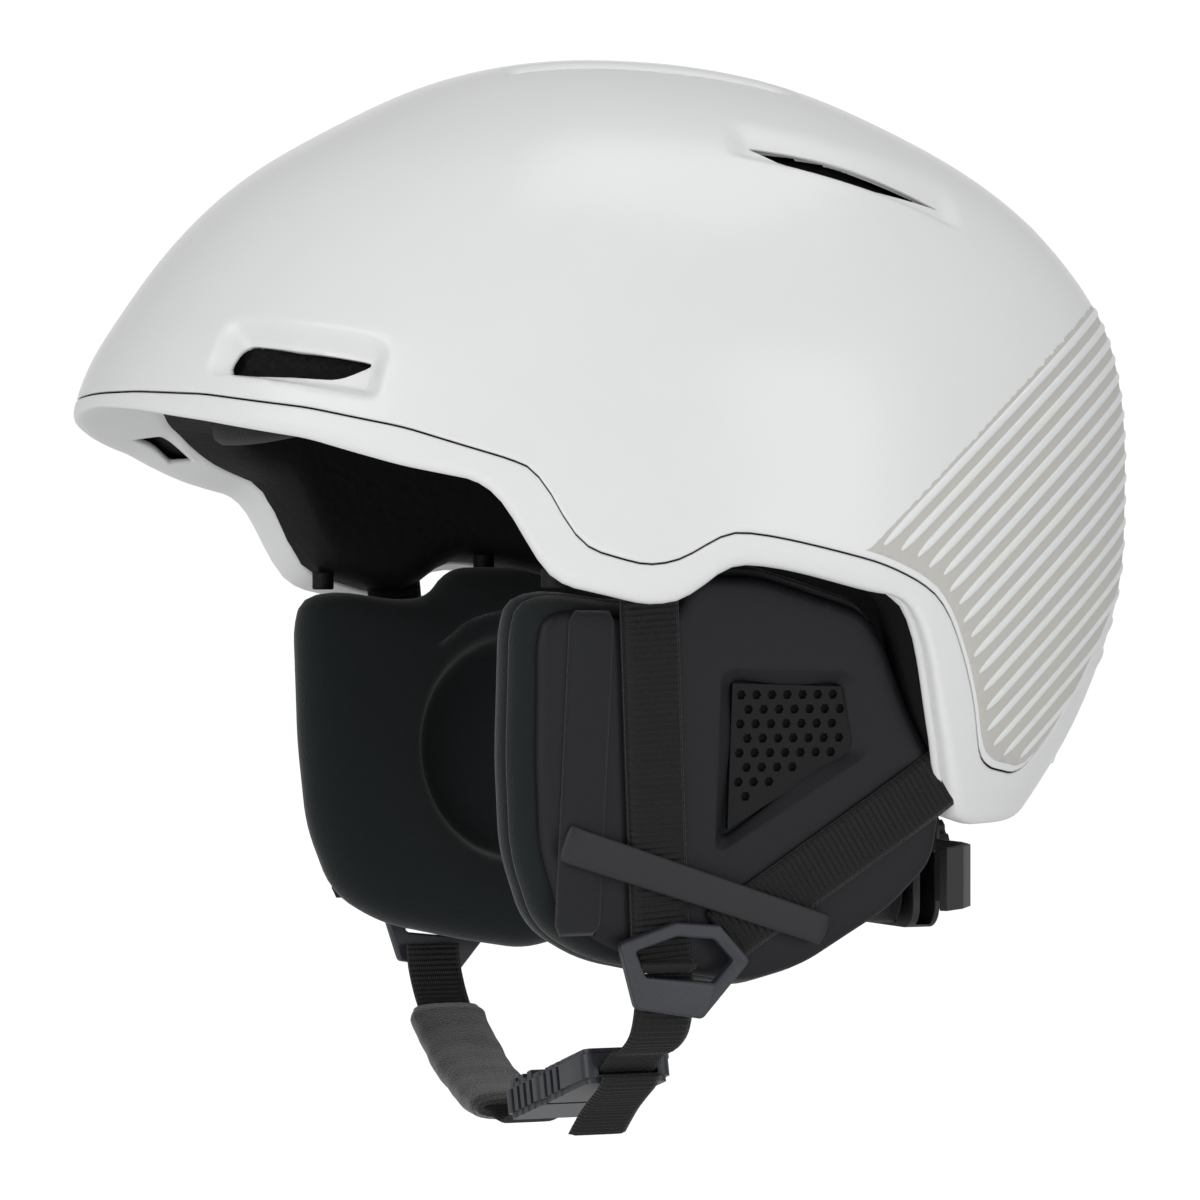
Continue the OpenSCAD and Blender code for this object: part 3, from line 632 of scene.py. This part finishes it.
# ---------------------------------------------------------------------------------------------------------
# Foam liner: black expanded foam, moulded in one with the shells. It is one closed skin from the outside of
# the crown, down round the lower edge, and back up the inside.
foam_paint = Paint("foam_black", (0.008, 0.008, 0.009), 0.75, Specular_IOR_Level=0.25)
beads = foam_paint.node("ShaderNodeTexVoronoi", None, {"Vector": foam_paint.place(), "Scale": 330.0})
foam_paint.relief(beads, 0.0002)
FOAM = {"crown": 26, "side": 24, "front": 36, "rear": 30}
FOAM_GAP, HOOD_ROOM = 2.6, 7.2


def foam_depth(t, angle):
    c = math.cos(math.radians(angle))
    side = FOAM["side"] + ((FOAM["front"] if c > 0 else FOAM["rear"]) - FOAM["side"]) * c * c
    k = min(1, t / 6)
    return FOAM["crown"] + (side - FOAM["crown"]) * k * k


def lining(t, angle, deeper=0.0):
    return skin(t, angle) - (foam_depth(t, angle) + deeper) * outward(t, angle)


def foam_gap(t, angle, foot):
    """The foam's outer face: close to the shell along the rim, deeper where the vents' hoods sink in."""
    front = smooth((math.cos(math.radians(angle)) - 0.3) / 0.2)
    up = section(t)[0] - foot
    return FOAM_GAP + HOOD_ROOM * max(front * smooth((up - 4) / 5), smooth((up - 8) / 14))


bm = bmesh.new()
rings = []
for column in range(180):
    angle = column * 2
    foot = along(RIM, angle) + lip_rise(angle)
    outer_end, inner_end = station_at(foot + 0.5), station_at(foot + 8)
    outside = [skin(t, angle) - foam_gap(t, angle, foot) * outward(t, angle)
               for t in [outer_end * k / 25 for k in range(26)]]
    inside = [lining(inner_end * k / 26, angle) for k in range(26, -1, -1)]
    a, b = outside[-1], inside[0]
    under = [a + (b - a) * u - UP * (b.z - a.z) * (u - rise) for u, rise in
             ((0.1, 0.0), (0.3, 0.0), (0.5, 0.02), (0.66, 0.06), (0.78, 0.16), (0.88, 0.36), (0.96, 0.68))]
    rings.append(outside + under + inside)
strip(bm, rings + [rings[0]])
weld(bm, 0.01)
new_piece("foam_liner", bm, foam_paint, "helmet", "foam", "eps_liner")

# ---------------------------------------------------------------------------------------------------------
# Vent screens: moulded black mesh, one panel set just behind each opening. They are clipped between the upper
# shell and the foam, and keep snow out.
screen_paint = Paint("screen_black", (0.006, 0.006, 0.007), 0.7, Specular_IOR_Level=0.2)
holes = screen_paint.node("ShaderNodeTexVoronoi", {"distance": "EUCLIDEAN"},
                          {"Vector": screen_paint.place(), "Scale": 480.0})
screen_paint.relief(holes, 0.0008)
bm = bmesh.new()
for v in VENTS:
    ring = [c - v["way"] * (v["dip"] + 3) + (c - v["middle"]).normalized() * 2.2
            for c in round_corners(v["corners"], VENT_ROUND)]
    face = bm.faces.new([bm.verts.new(p) for p in ring])
    made = bmesh.ops.extrude_face_region(bm, geom=[face])["geom"]
    bmesh.ops.translate(bm, vec=-v["way"] * 1.2, verts=[g for g in made if isinstance(g, bmesh.types.BMVert)])
bmesh.ops.recalc_face_normals(bm, faces=bm.faces)
new_piece("vent_mesh", bm, screen_paint, "helmet", "screen", "vent_screens", angle=30)

# ---------------------------------------------------------------------------------------------------------
# Comfort pads: brushed knit over foam, held inside by hook-and-loop patches. Each is a pillow drawn on the
# foam, thickest in the middle.
knit_paint = Paint("lining_knit", (0.010, 0.0105, 0.012), 0.92,
                   Sheen_Weight=0.12, Specular_IOR_Level=0.2, Sheen_Roughness=0.5)
knit_paint.relief(knit_paint.noise(1500, 3), 0.00025)


def pillow(bm, angles, stations, deeper, thick, rows=26, columns=34):
    """A closed pillow over a range of plan angles and stations of the foam's inner face."""
    for sign in (1, -1):
        rings = []
        for i in range(rows + 1):
            v = -1 + 2 * i / rows
            ring = []
            for j in range(columns + 1):
                u = -1 + 2 * j / columns
                angle = angles[0] + (angles[1] - angles[0]) * (u + 1) / 2
                t = stations[0] + (stations[1] - stations[0]) * (v + 1) / 2
                full = max(1 - abs(u) ** 6, 0) ** 0.4 * max(1 - abs(v) ** 4, 0) ** 0.45
                lift = deeper + thick / 2 + sign * thick / 2 * full
                ring.append(lining(t, angle, lift))
            rings.append(ring)
        strip(bm, rings)
    weld(bm, 0.01)


for name, node, parts, thick in (
        ("brow_comfort_pad", "brow_pad", [((-55, 55), (5.9, 7.2))], 7),
        ("crown_comfort_pads", "crown_pad", [((-41, 41), (1.2, 4.6)), ((139, 221), (1.2, 4.6))], 6),
        ("side_comfort_pads", "side_pads", [((63, 115), (4.5, 7.2)), ((245, 297), (4.5, 7.2))], 6)):
    bm = bmesh.new()
    for angles, stations in parts:
        pillow(bm, angles, stations, 1.2, thick)
    pad = new_piece(name, bm, knit_paint, "helmet", "lining", node)


# ---------------------------------------------------------------------------------------------------------
# Ear pads: knit-covered foam cushions with a moulded well for the ear on the inside and a smooth moulded
# cover on the outside. They snap to the liner with two studs each. Drawn flat as (y, z, w), w outwards.
LEAN = math.radians(5)
EAR = [(-55, 3), (-44, 1), (-36, -1), (-20, -1), (-13, 7), (6, 7), (20, 3), (36, -2), (42, -10), (50, -28), (58, -42),
       (60, -54), (58, -68), (46, -80), (22, -94), (6, -98), (-36, -91), (-50, -83), (-57, -64), (-59, -40), (-59, -4)]
EAR_MIDDLE = (12, -40)


def on_pad(y, z, w, side=1):
    return Vector((side * (92 + w * math.cos(LEAN) + z * math.sin(LEAN)), y, z * math.cos(LEAN) - w * math.sin(LEAN)))


def ear_ray(theta):
    """Distance from the pad's middle to its outline."""
    dx, dz = math.cos(theta), math.sin(theta)
    best = 0.0
    for (y0, z0), (y1, z1) in zip(EAR, EAR[1:] + EAR[:1]):
        ey, ez = y1 - y0, z1 - z0
        det = dx * -ez + ey * dz
        if abs(det) > 1e-9:
            ry, rz = y0 - EAR_MIDDLE[0], z0 - EAR_MIDDLE[1]
            r = (ry * -ez + ey * rz) / det
            u = (dx * rz - dz * ry) / det
            if -1e-9 <= u <= 1 + 1e-9:
                best = max(best, r)
    return best


PAD_SIDES = 168
EAR_RADII = [sum(ear_ray(math.radians(360 * k / PAD_SIDES + step * 1.5)) for step in range(-3, 4)) / 7
             for k in range(PAD_SIDES)]


def at_front(theta):
    """1 on the pad's front edge, easing to 0 round its corners."""
    return smooth((-math.cos(theta) - 0.35) / 0.5)


def pad_ring(inset, w, side, merge=0.0, well=1.0, front=0.0):
    """A ring round the pad: merge 0 follows the outline, and 1 the ear well's oval.

    front insets the front edge more."""
    ring = []
    for k, r in enumerate(EAR_RADII):
        theta = 2 * math.pi * k / PAD_SIDES
        r -= front * at_front(theta)
        y, z = EAR_MIDDLE[0] + (r - inset) * math.cos(theta), EAR_MIDDLE[1] + (r - inset) * math.sin(theta)
        oy, oz = 4 + 29 * well * math.cos(theta), -43 + 32 * well * math.sin(theta)
        ring.append(on_pad(y + (oy - y) * merge, z + (oz - z) * merge, w, side))
    return ring


ear_knit = Paint("ear_knit", (0.011, 0.0145, 0.0155), 0.95,
                 Sheen_Weight=0.25, Specular_IOR_Level=0.25, Sheen_Roughness=0.45)
ear_knit.relief(ear_knit.noise(1800, 3), 0.0002)
cover_paint = Paint("ear_cover_paint", (0.009, 0.009, 0.0125), 0.55, Specular_IOR_Level=0.3)
cover_paint.relief(cover_paint.noise(2200, 3), 0.00006)
grille_paint = Paint("ear_grille_paint", (0.006, 0.006, 0.007), 0.6, Specular_IOR_Level=0.25)
bar_paint = Paint("ear_bar_paint", (0.0155, 0.016, 0.019), 0.85, Sheen_Weight=0.12, Specular_IOR_Level=0.3)
bar_paint.relief(bar_paint.noise(2000, 2), 0.00015)
hardware_paint = Paint("hardware_slate", (0.027, 0.030, 0.037), 0.38)
hardware_paint.relief(hardware_paint.noise(1600, 2), 0.00004)
COVER_FRONT, COVER_WALL = 5.5, 0.5
WINDOW = [(-4.2, -17), (33.2, -18), (38.0, -39.0), (-4.2, -64.5)]


def dress(node, paint, slot):
    """Finishes a CAD node that is shown as it is."""
    o = nodes[node]
    o.data.materials.clear()
    o.data.materials.append(paint.material)


def eased(name, node, paint, body, slot, width, segments=3):
    """A copy of a small hard CAD piece with every edge eased by width, in mm."""
    bm = bmesh.new()
    bm.from_mesh(nodes[node].data)
    bm.transform(nodes[node].matrix_world)
    bmesh.ops.remove_doubles(bm, verts=bm.verts, dist=2e-6)
    bmesh.ops.dissolve_limit(bm, angle_limit=math.radians(2), verts=bm.verts, edges=bm.edges)
    bmesh.ops.scale(bm, vec=(1 / MM, 1 / MM, 1 / MM), verts=bm.verts)
    piece = new_piece(name, bm, paint, body, slot, node, angle=35)
    ease = piece.modifiers.new("ease", "BEVEL")
    ease.width = width * MM
    ease.segments = segments
    ease.limit_method = "ANGLE"
    ease.angle_limit = math.radians(28)
    ease.miter_outer = "MITER_ARC"
    return piece


for side, word in ((1, "left"), (-1, "right")):
    body = "ear_pad_" + word
    bm = bmesh.new()
    rings = [pad_ring(30, -3.4, side), pad_ring(12, -3.4, side), pad_ring(8.5, -3.2, side, front=1.5)]
    rings += [pad_ring(i, w, side, front=1.5) for i, w in (
        (6.5, -2.7), (4.5, -2.5), (2.6, -3.0), (1.1, -4.2), (0.2, -5.8), (-0.2, -7.2), (-0.3, -7.7), (0.15, -8.0),
        (-0.3, -8.3), (-0.9, -9.6), (-1.2, -11.2), (-1.1, -13.0), (-0.5, -15.0), (0.6, -16.8), (2.2, -18.3),
        (4.4, -19.4), (7.0, -20.0))]
    rings += [pad_ring(8 + 6 * m, -20.2 - 0.5 * math.sin(m * math.pi), side, m, 1.22)
              for m in (0.12, 0.3, 0.5, 0.7, 0.9, 1.0)]
    rings += [pad_ring(0, w, side, 1.0, k) for k, w in (
        (1.12, -20.0), (1.05, -19.2), (1.01, -17.8), (0.98, -15.5), (0.95, -12.5), (0.91, -10.6), (0.84, -9.4),
        (0.72, -8.8), (0.5, -8.5), (0.25, -8.4))]
    tube(bm, rings, 0.005)
    cushion = new_piece("ear_cushion_soft_" + word, bm, ear_knit, body, "ear_fabric", "ear_cushion_" + word)

    bm = bmesh.new()
    rings = [pad_ring(i, w, side, front=COVER_FRONT) for i, w in (
        (4, -3.4), (1.6, -3.3), (1.35, -2.3), (1.7, -1.3), (2.6, -0.5), (4.2, -0.08), (6.5, 0.0))]
    steps = 26
    for k in range(1, steps):
        u = k / steps
        ring = []
        for n, r in enumerate(EAR_RADII):
            theta = 2 * math.pi * n / PAD_SIDES
            reach = (r - 6.5 - COVER_FRONT * at_front(theta)) * (1 - u)
            ring.append(on_pad(EAR_MIDDLE[0] + reach * math.cos(theta), EAR_MIDDLE[1] + reach * math.sin(theta),
                               0.35 * smooth(u * 2), side))
        rings.append(ring)
    strip(bm, [r + [r[0]] for r in rings])
    weld(bm, 0.005)
    out = Vector((side * math.cos(LEAN), 0, -math.sin(LEAN)))
    if sum(f.normal.dot(out) * f.calc_area() for f in bm.faces) < 0:
        bmesh.ops.reverse_faces(bm, faces=bm.faces)
    bm.normal_update()
    frame_corners = [on_pad(y, z, 0.3, side) for y, z in WINDOW]
    ring = cut_opening(bm, round_corners(frame_corners, 4), out, 60)
    bevel_steps = ((0.12, 0.3), (0.5, 1.0), (0.9, 1.5), (0.8, 1.3), (0.6, 0.3))
    turn_in(bm, ring, out, bevel_steps, sum(frame_corners, Vector()) / 4)
    bmesh.ops.recalc_face_normals(bm, faces=bm.faces)
    if sum(f.normal.dot(out) * f.calc_area() for f in bm.faces) < 0:
        bmesh.ops.reverse_faces(bm, faces=bm.faces)
    give_wall(new_piece("ear_cover_skin_" + word, bm, cover_paint, body, "ear_cover", "ear_cover_" + word), COVER_WALL)

    # The raised bar in front of the strap, a padded strip of coarser fabric.
    bm = bmesh.new()
    for face_sign in (1, -1):
        rings = []
        for i in range(61):
            v = -1 + i / 30
            ring = []
            for j in range(17):
                u = -1 + j / 8
                full = max(1 - abs(u) ** 4, 0) ** 0.5 * max(1 - abs(v) ** 24, 0) ** 0.5
                w = 0.15 + (2.0 * full if face_sign > 0 else -0.6 * full)
                lean_in = 1.3 * smooth((abs(v) - 0.93) / 0.07)
                ring.append(on_pad(-39.9 + u * (6.0 - lean_in) + 0.6 * v, -43 + v * 40.5, w, side))
            rings.append(ring)
        strip(bm, rings)
    weld(bm, 0.005)
    bar = new_piece("ear_bar_" + word, bm, bar_paint, body, "ear_cover")
    dress("ear_grille_" + word, grille_paint, "ear_cover")
    eased("ear_snap_" + word, "ear_stud_" + word, grille_paint, body, "hardware", 0.5)


# ---------------------------------------------------------------------------------------------------------
# Straps: woven polyester webbing, 16 mm wide, with a cross-rib every 1.6 mm and firm edges. The front and
# rear straps run over the ear pad's cover to the divider, and the chin straps hang from the dividers.
webbing_paint = Paint("webbing_black", (0.006, 0.006, 0.0068), 0.62,
                      Sheen_Weight=0.1, Sheen_Roughness=0.35, Specular_IOR_Level=0.35)
thread = webbing_paint.part(webbing_paint.map_uv(), 0)
webbing_paint.relief((thread * 2 * math.pi * 26).sin() * 0.5 + 0.5, 0.00012)


def curve(points, step=0.3):
    """A smooth path through points, evenly spaced."""
    points = [Vector(p) for p in points]
    ends = [2 * points[0] - points[1]] + points + [2 * points[-1] - points[-2]]
    fine = []
    for a, b, c, d in zip(ends, ends[1:], ends[2:], ends[3:]):
        for k in range(40):
            u = k / 40
            fine.append((2 * b + (c - a) * u + (2 * a - 5 * b + 4 * c - d) * u * u
                         + (3 * b - a - 3 * c + d) * u ** 3) / 2)
    fine.append(points[-1])
    even, left = [fine[0]], step
    for a, b in zip(fine, fine[1:]):
        gap = (b - a).length
        while gap > 0 and left <= gap:
            a = a + (b - a) * (left / gap)
            even.append(a)
            gap = (b - a).length
            left = step
        left -= gap
    return even


def ribbon(bm, path, across, width, thick, rib=0.22, pitch=1.6, step=0.3):
    """A flat band along a path. across gives the width's direction at a share of the way along."""
    uv = bm.loops.layers.uv.verify()
    rings = []
    count = len(path)
    for i, p in enumerate(path):
        tangent = (path[min(i + 1, count - 1)] - path[max(i - 1, 0)]).normalized()
        side = across(i / (count - 1))
        side = (side - side.dot(tangent) * tangent).normalized()
        normal = tangent.cross(side)
        s = i * step
        taper = smooth(min(i, count - 1 - i) * step / 0.5) * 0.6 + 0.4
        ring = []
        for face_sign in (1, -1):
            for j in range(11):
                x = (-1 + j / 5) * face_sign
                firm = 0.12 * smooth((abs(x) - 0.78) / 0.12)
                ridge = rib * math.sin(2 * math.pi * s / pitch + (0 if face_sign > 0 else 2))
                ridge *= 1 - smooth((abs(x) - 0.8) / 0.12)
                full = max(1 - abs(x) ** 10, 0) ** 0.5
                ring.append(p + side * x * width / 2
                            + face_sign * normal * (thick / 2 * full + (firm + ridge) * full) * taper)
        rings.append(ring)
    rows = strip(bm, [r + [r[0]] for r in rings])
    for row in (rows[0], rows[-1]):
        bm.faces.new(row[:-1])
    marks = {v: (abs(5 - j) / 10 if j < 11 else (j - 11) % 11 / 10, i * step / 16)
             for i, row in enumerate(rows) for j, v in enumerate(row)}
    for f in bm.faces:
        for loop in f.loops:
            loop[uv].uv = marks[loop.vert]
    weld(bm, 0.002)


def squarish(turn, wide, tall):
    """A point of a rounded box section. The smaller wide and tall are, the squarer it is."""
    c, s = math.cos(turn), math.sin(turn)
    return math.copysign(abs(c) ** wide, c), math.copysign(abs(s) ** tall, s)


keeper_paint = Paint("keeper_rubber", (0.011, 0.0115, 0.014), 0.55)
keeper_paint.relief(keeper_paint.noise(1200, 2), 0.00005)
for side, word in ((1, "left"), (-1, "right")):
    def at(y, z, w):
        return on_pad(y, z, w, side)

    bm = bmesh.new()
    flat = (at(1, 0, 0) - at(0, 0, 0)).normalized()
    front = [at(-25.5, 11, 1.4), at(-23.7, -14, 1.45), at(-22, -38, 1.5), at(-20.4, -60, 1.5), at(-18.9, -80, 1.4),
             at(-18.4, -87, 1.6), at(-18.1, -90, 2.6), at(-18, -91.6, 3.9), at(-18, -91.3, 4.9), at(-18, -89.8, 4.7)]
    ribbon(bm, curve(front), lambda u: flat, 16, 1.6)
    new_piece("front_webbing_" + word, bm, webbing_paint, "helmet", "webbing", "front_strap_" + word)

    bm = bmesh.new()
    rear_way = (at(0, -83.5, 0) - at(63, -42, 0)).normalized()
    rear_across = rear_way.cross(at(0, 0, 1) - at(0, 0, 0)).normalized()
    rear = [at(58.5, -45, 0.2), at(52, -49.3, 1.1), at(45, -53.9, 1.4), at(25, -67.1, 1.4), at(8, -78.3, 1.4),
            at(3, -81.6, 1.4), at(-2, -85, 1.4)]
    ribbon(bm, curve(rear), lambda u: rear_across, 15.6, 1.6)
    new_piece("rear_webbing_" + word, bm, webbing_paint, "helmet", "webbing", "rear_strap_" + word)

    # Strap keeper: a flat rubber band, wider in front, folded down over the pad's bar at its front end.
    bm = bmesh.new()
    path = curve([at(-45.8, -59.6, 2.2), at(-44.6, -60, 2.9), at(-42, -61, 3.2), at(-28, -65.6, 3.3),
                  at(-10, -71.5, 3.4), at(8, -77.4, 3.3), at(22, -82, 3.1), at(26.5, -83.5, 2.4)], 0.8)
    lay = (at(25, -83, 0) - at(-42, -61, 0)).normalized().cross(at(0, 0, 1) - at(0, 0, 0)).normalized()
    rings = []
    for i, p in enumerate(path):
        u = i / (len(path) - 1)
        width = 9.4 - 1.6 * u
        tangent = (path[min(i + 1, len(path) - 1)] - path[max(i - 1, 0)]).normalized()
        normal = tangent.cross(lay).normalized()
        cap = min(1, i * 0.8 / 1.2 + 0.35, (len(path) - 1 - i) * 0.8 / 1.2 + 0.35)
        ring = []
        for k in range(28):
            x, y = squarish(2 * math.pi * k / 28, 0.35, 0.6)
            ring.append(p + lay * (width / 2 * x * cap) + normal * (0.75 * y * cap))
        rings.append(ring)
    tube(bm, rings, 0.002)
    new_piece("keeper_band_" + word, bm, keeper_paint, "helmet", "keeper", "strap_keeper_" + word)
    eased("divider_ring_" + word, "divider_" + word, hardware_paint, "helmet", "hardware", 0.6)

# ---------------------------------------------------------------------------------------------------------
# Chin straps: the near one drops from the left divider into the buckle, and its end folds back below it. The
# far one carries a fleece sleeve that pads the chin.
CHIN_Y = -17
TILT = math.radians(15)


def in_buckle(x, z, y=CHIN_Y):
    return Vector((30 + x * math.cos(TILT) - z * math.sin(TILT), y, -126 + x * math.sin(TILT) + z * math.cos(TILT)))


def hang(points):
    return [Vector((x, CHIN_Y, z)) for x, z in points]


ALONG_Y = Vector((0, 1, 0))
near = hang([(83.6, -93.2), (84.8, -96.0), (84.4, -102), (81.4, -108.4), (75, -112.6), (68, -114.4)])
near += [in_buckle(30, -1.6), in_buckle(22, -1.6)]
bm = bmesh.new()
ribbon(bm, curve(near), lambda u: ALONG_Y, 16, 1.6)
new_piece("near_chin_webbing", bm, webbing_paint, "chin_loop", "webbing", "chin_strap_left")
bm = bmesh.new()
tail = [in_buckle(34, -3.2), in_buckle(30, -5.6), in_buckle(24, -7.2), in_buckle(17, -9.2), in_buckle(10.5, -11.8),
        in_buckle(6.5, -13.6)]
ribbon(bm, curve(tail), lambda u: ALONG_Y, 16, 1.6)
new_piece("chin_webbing_tail", bm, webbing_paint, "chin_loop", "webbing")
far_run = [in_buckle(-10, -1.6), in_buckle(-26, -1.6), in_buckle(-42, -1.9)]
far_run += hang([(-20, -137), (-34, -134.5), (-50, -129), (-64, -121.5), (-75, -112.5), (-81.5, -104), (-83.8, -96.5)])
bm = bmesh.new()
ribbon(bm, curve(far_run), lambda u: ALONG_Y, 15.8, 1.4)
new_piece("far_chin_webbing", bm, webbing_paint, "chin_loop", "webbing", "chin_strap_right")

fleece_paint = Paint("sleeve_fleece", (0.022, 0.022, 0.024), 0.95, Sheen_Weight=0.6, Sheen_Roughness=0.5)
flecks = fleece_paint.noise(1100, 4, rough=0.7).step(0.5, 0.72)
fleece_paint.set("Base Color", fleece_paint.mix(flecks, (0.007, 0.007, 0.0085), (0.036, 0.037, 0.041)))
fleece_paint.relief(fleece_paint.noise(1500, 4, rough=0.7), 0.0006)
bm = bmesh.new()
SLEEVE_STEP = 0.7
path = curve(hang([(-22, -136.9), (-34, -134.5), (-50, -129), (-64, -121.5), (-73.5, -114)]), SLEEVE_STEP)
rings = []
for i, p in enumerate(path):
    tangent = (path[min(i + 1, len(path) - 1)] - path[max(i - 1, 0)]).normalized()
    normal = tangent.cross(ALONG_Y).normalized()
    s = i * SLEEVE_STEP
    ease_end = smooth(min(s, (len(path) - 1) * SLEEVE_STEP - s) / 3)
    ring = []
    for k in range(48):
        a = 2 * math.pi * k / 48
        x, y = squarish(a, 0.7, 0.8)
        wave = 0.16 * math.sin(s * 0.31 + 2 * math.cos(a)) + 0.08 * math.sin(s * 0.73 + 3 * math.sin(a))
        ring.append(p + ALONG_Y * x * (9.6 + 1.3 * ease_end + wave) + normal * y * (2.6 + 1.3 * ease_end + wave * 0.8))
    rings.append(ring)
rings = [[p + (q - p) * k for q in rings[0]] for p, k in ((path[2], 0.80), (path[1], 0.9))] + rings
rings += [[path[-1] + (q - path[-1]) * 0.85 for q in rings[-1]]]
tube(bm, rings, 0.002)
sleeve = new_piece("chin_fleece", bm, fleece_paint, "chin_loop", "fleece", "chin_sleeve")

# ---------------------------------------------------------------------------------------------------------
# Buckle: two moulded nylon halves that magnets draw together, with a side tab that parts them. The magnets,
# the dial's screw and the goggle clip's pin are bright steel.
eased("socket_half", "buckle_socket", hardware_paint, "chin_loop", "hardware", 0.35, 2)
eased("tongue_half", "buckle_tongue", hardware_paint, "tongue", "hardware", 0.35, 2)
tab_paint = Paint("tab_slate", (0.033, 0.037, 0.045), 0.38)
eased("side_tab", "release_tab", tab_paint, "tab", "hardware", 0.7)
metal_paint = Paint("bright_steel", (0.62, 0.62, 0.60), 0.28, 1.0)
for node in ("socket_magnet", "tongue_magnet", "dial_screw", "goggle_clip_pin"):
    dress(node, metal_paint, "metal")

# ---------------------------------------------------------------------------------------------------------
# Fit system: a nylon cradle hung from the liner, with a dial that draws two racked bands round the nape. A knit
# pad covers the cradle where it meets the head.
nylon_paint = Paint("cradle_nylon", (0.009, 0.009, 0.0105), 0.48)
nylon_paint.relief(nylon_paint.noise(1500, 2), 0.00004)
dial_paint = Paint("dial_rubber", (0.015, 0.0155, 0.018), 0.6)
eased("cradle_case", "cradle_housing", nylon_paint, "helmet", "cradle", 0.8)
eased("cradle_plate", "cradle_cover", nylon_paint, "helmet", "cradle", 0.5)
eased("cradle_strap", "cradle_hanger", nylon_paint, "helmet", "cradle", 0.6)
dress("dial_pinion", nylon_paint, "cradle")
eased("fit_knob", "fit_dial", dial_paint, "dial", "dial", 0.5)
for word in ("left", "right"):
    eased("fit_arm_" + word, "fit_band_" + word, nylon_paint, "band_" + word, "cradle", 0.3, 2)
bm = bmesh.new()
for face_sign in (1, -1):
    rings = []
    for i in range(41):
        v = -1 + i / 20
        ring = []
        for j in range(41):
            u = -1 + j / 20
            full = max(1 - abs(u) ** 5, 0) ** 0.5 * max(1 - abs(v) ** 4, 0) ** 0.5
            ring.append(Vector((u * 26.5 * (1 - 0.12 * v * v), 76 - face_sign * 3.2 * full,
                                -72 + v * 15.5 * (1 - 0.08 * u * u))))
        rings.append(ring)
    strip(bm, rings)
weld(bm, 0.005)
nape = new_piece("nape_comfort_pad", bm, knit_paint, "helmet", "lining", "nape_pad")

# ---------------------------------------------------------------------------------------------------------
# Goggle clip: a hinged tab on a small base at the back, moulded in the rim's white. A steel pin holds the tab,
# which lifts to take the goggle strap.
eased("clip_base", "goggle_clip_base", lower_paint, "helmet", "lower_shell", 0.5)
eased("clip_tab", "goggle_clip", lower_paint, "clip", "lower_shell", 0.8)
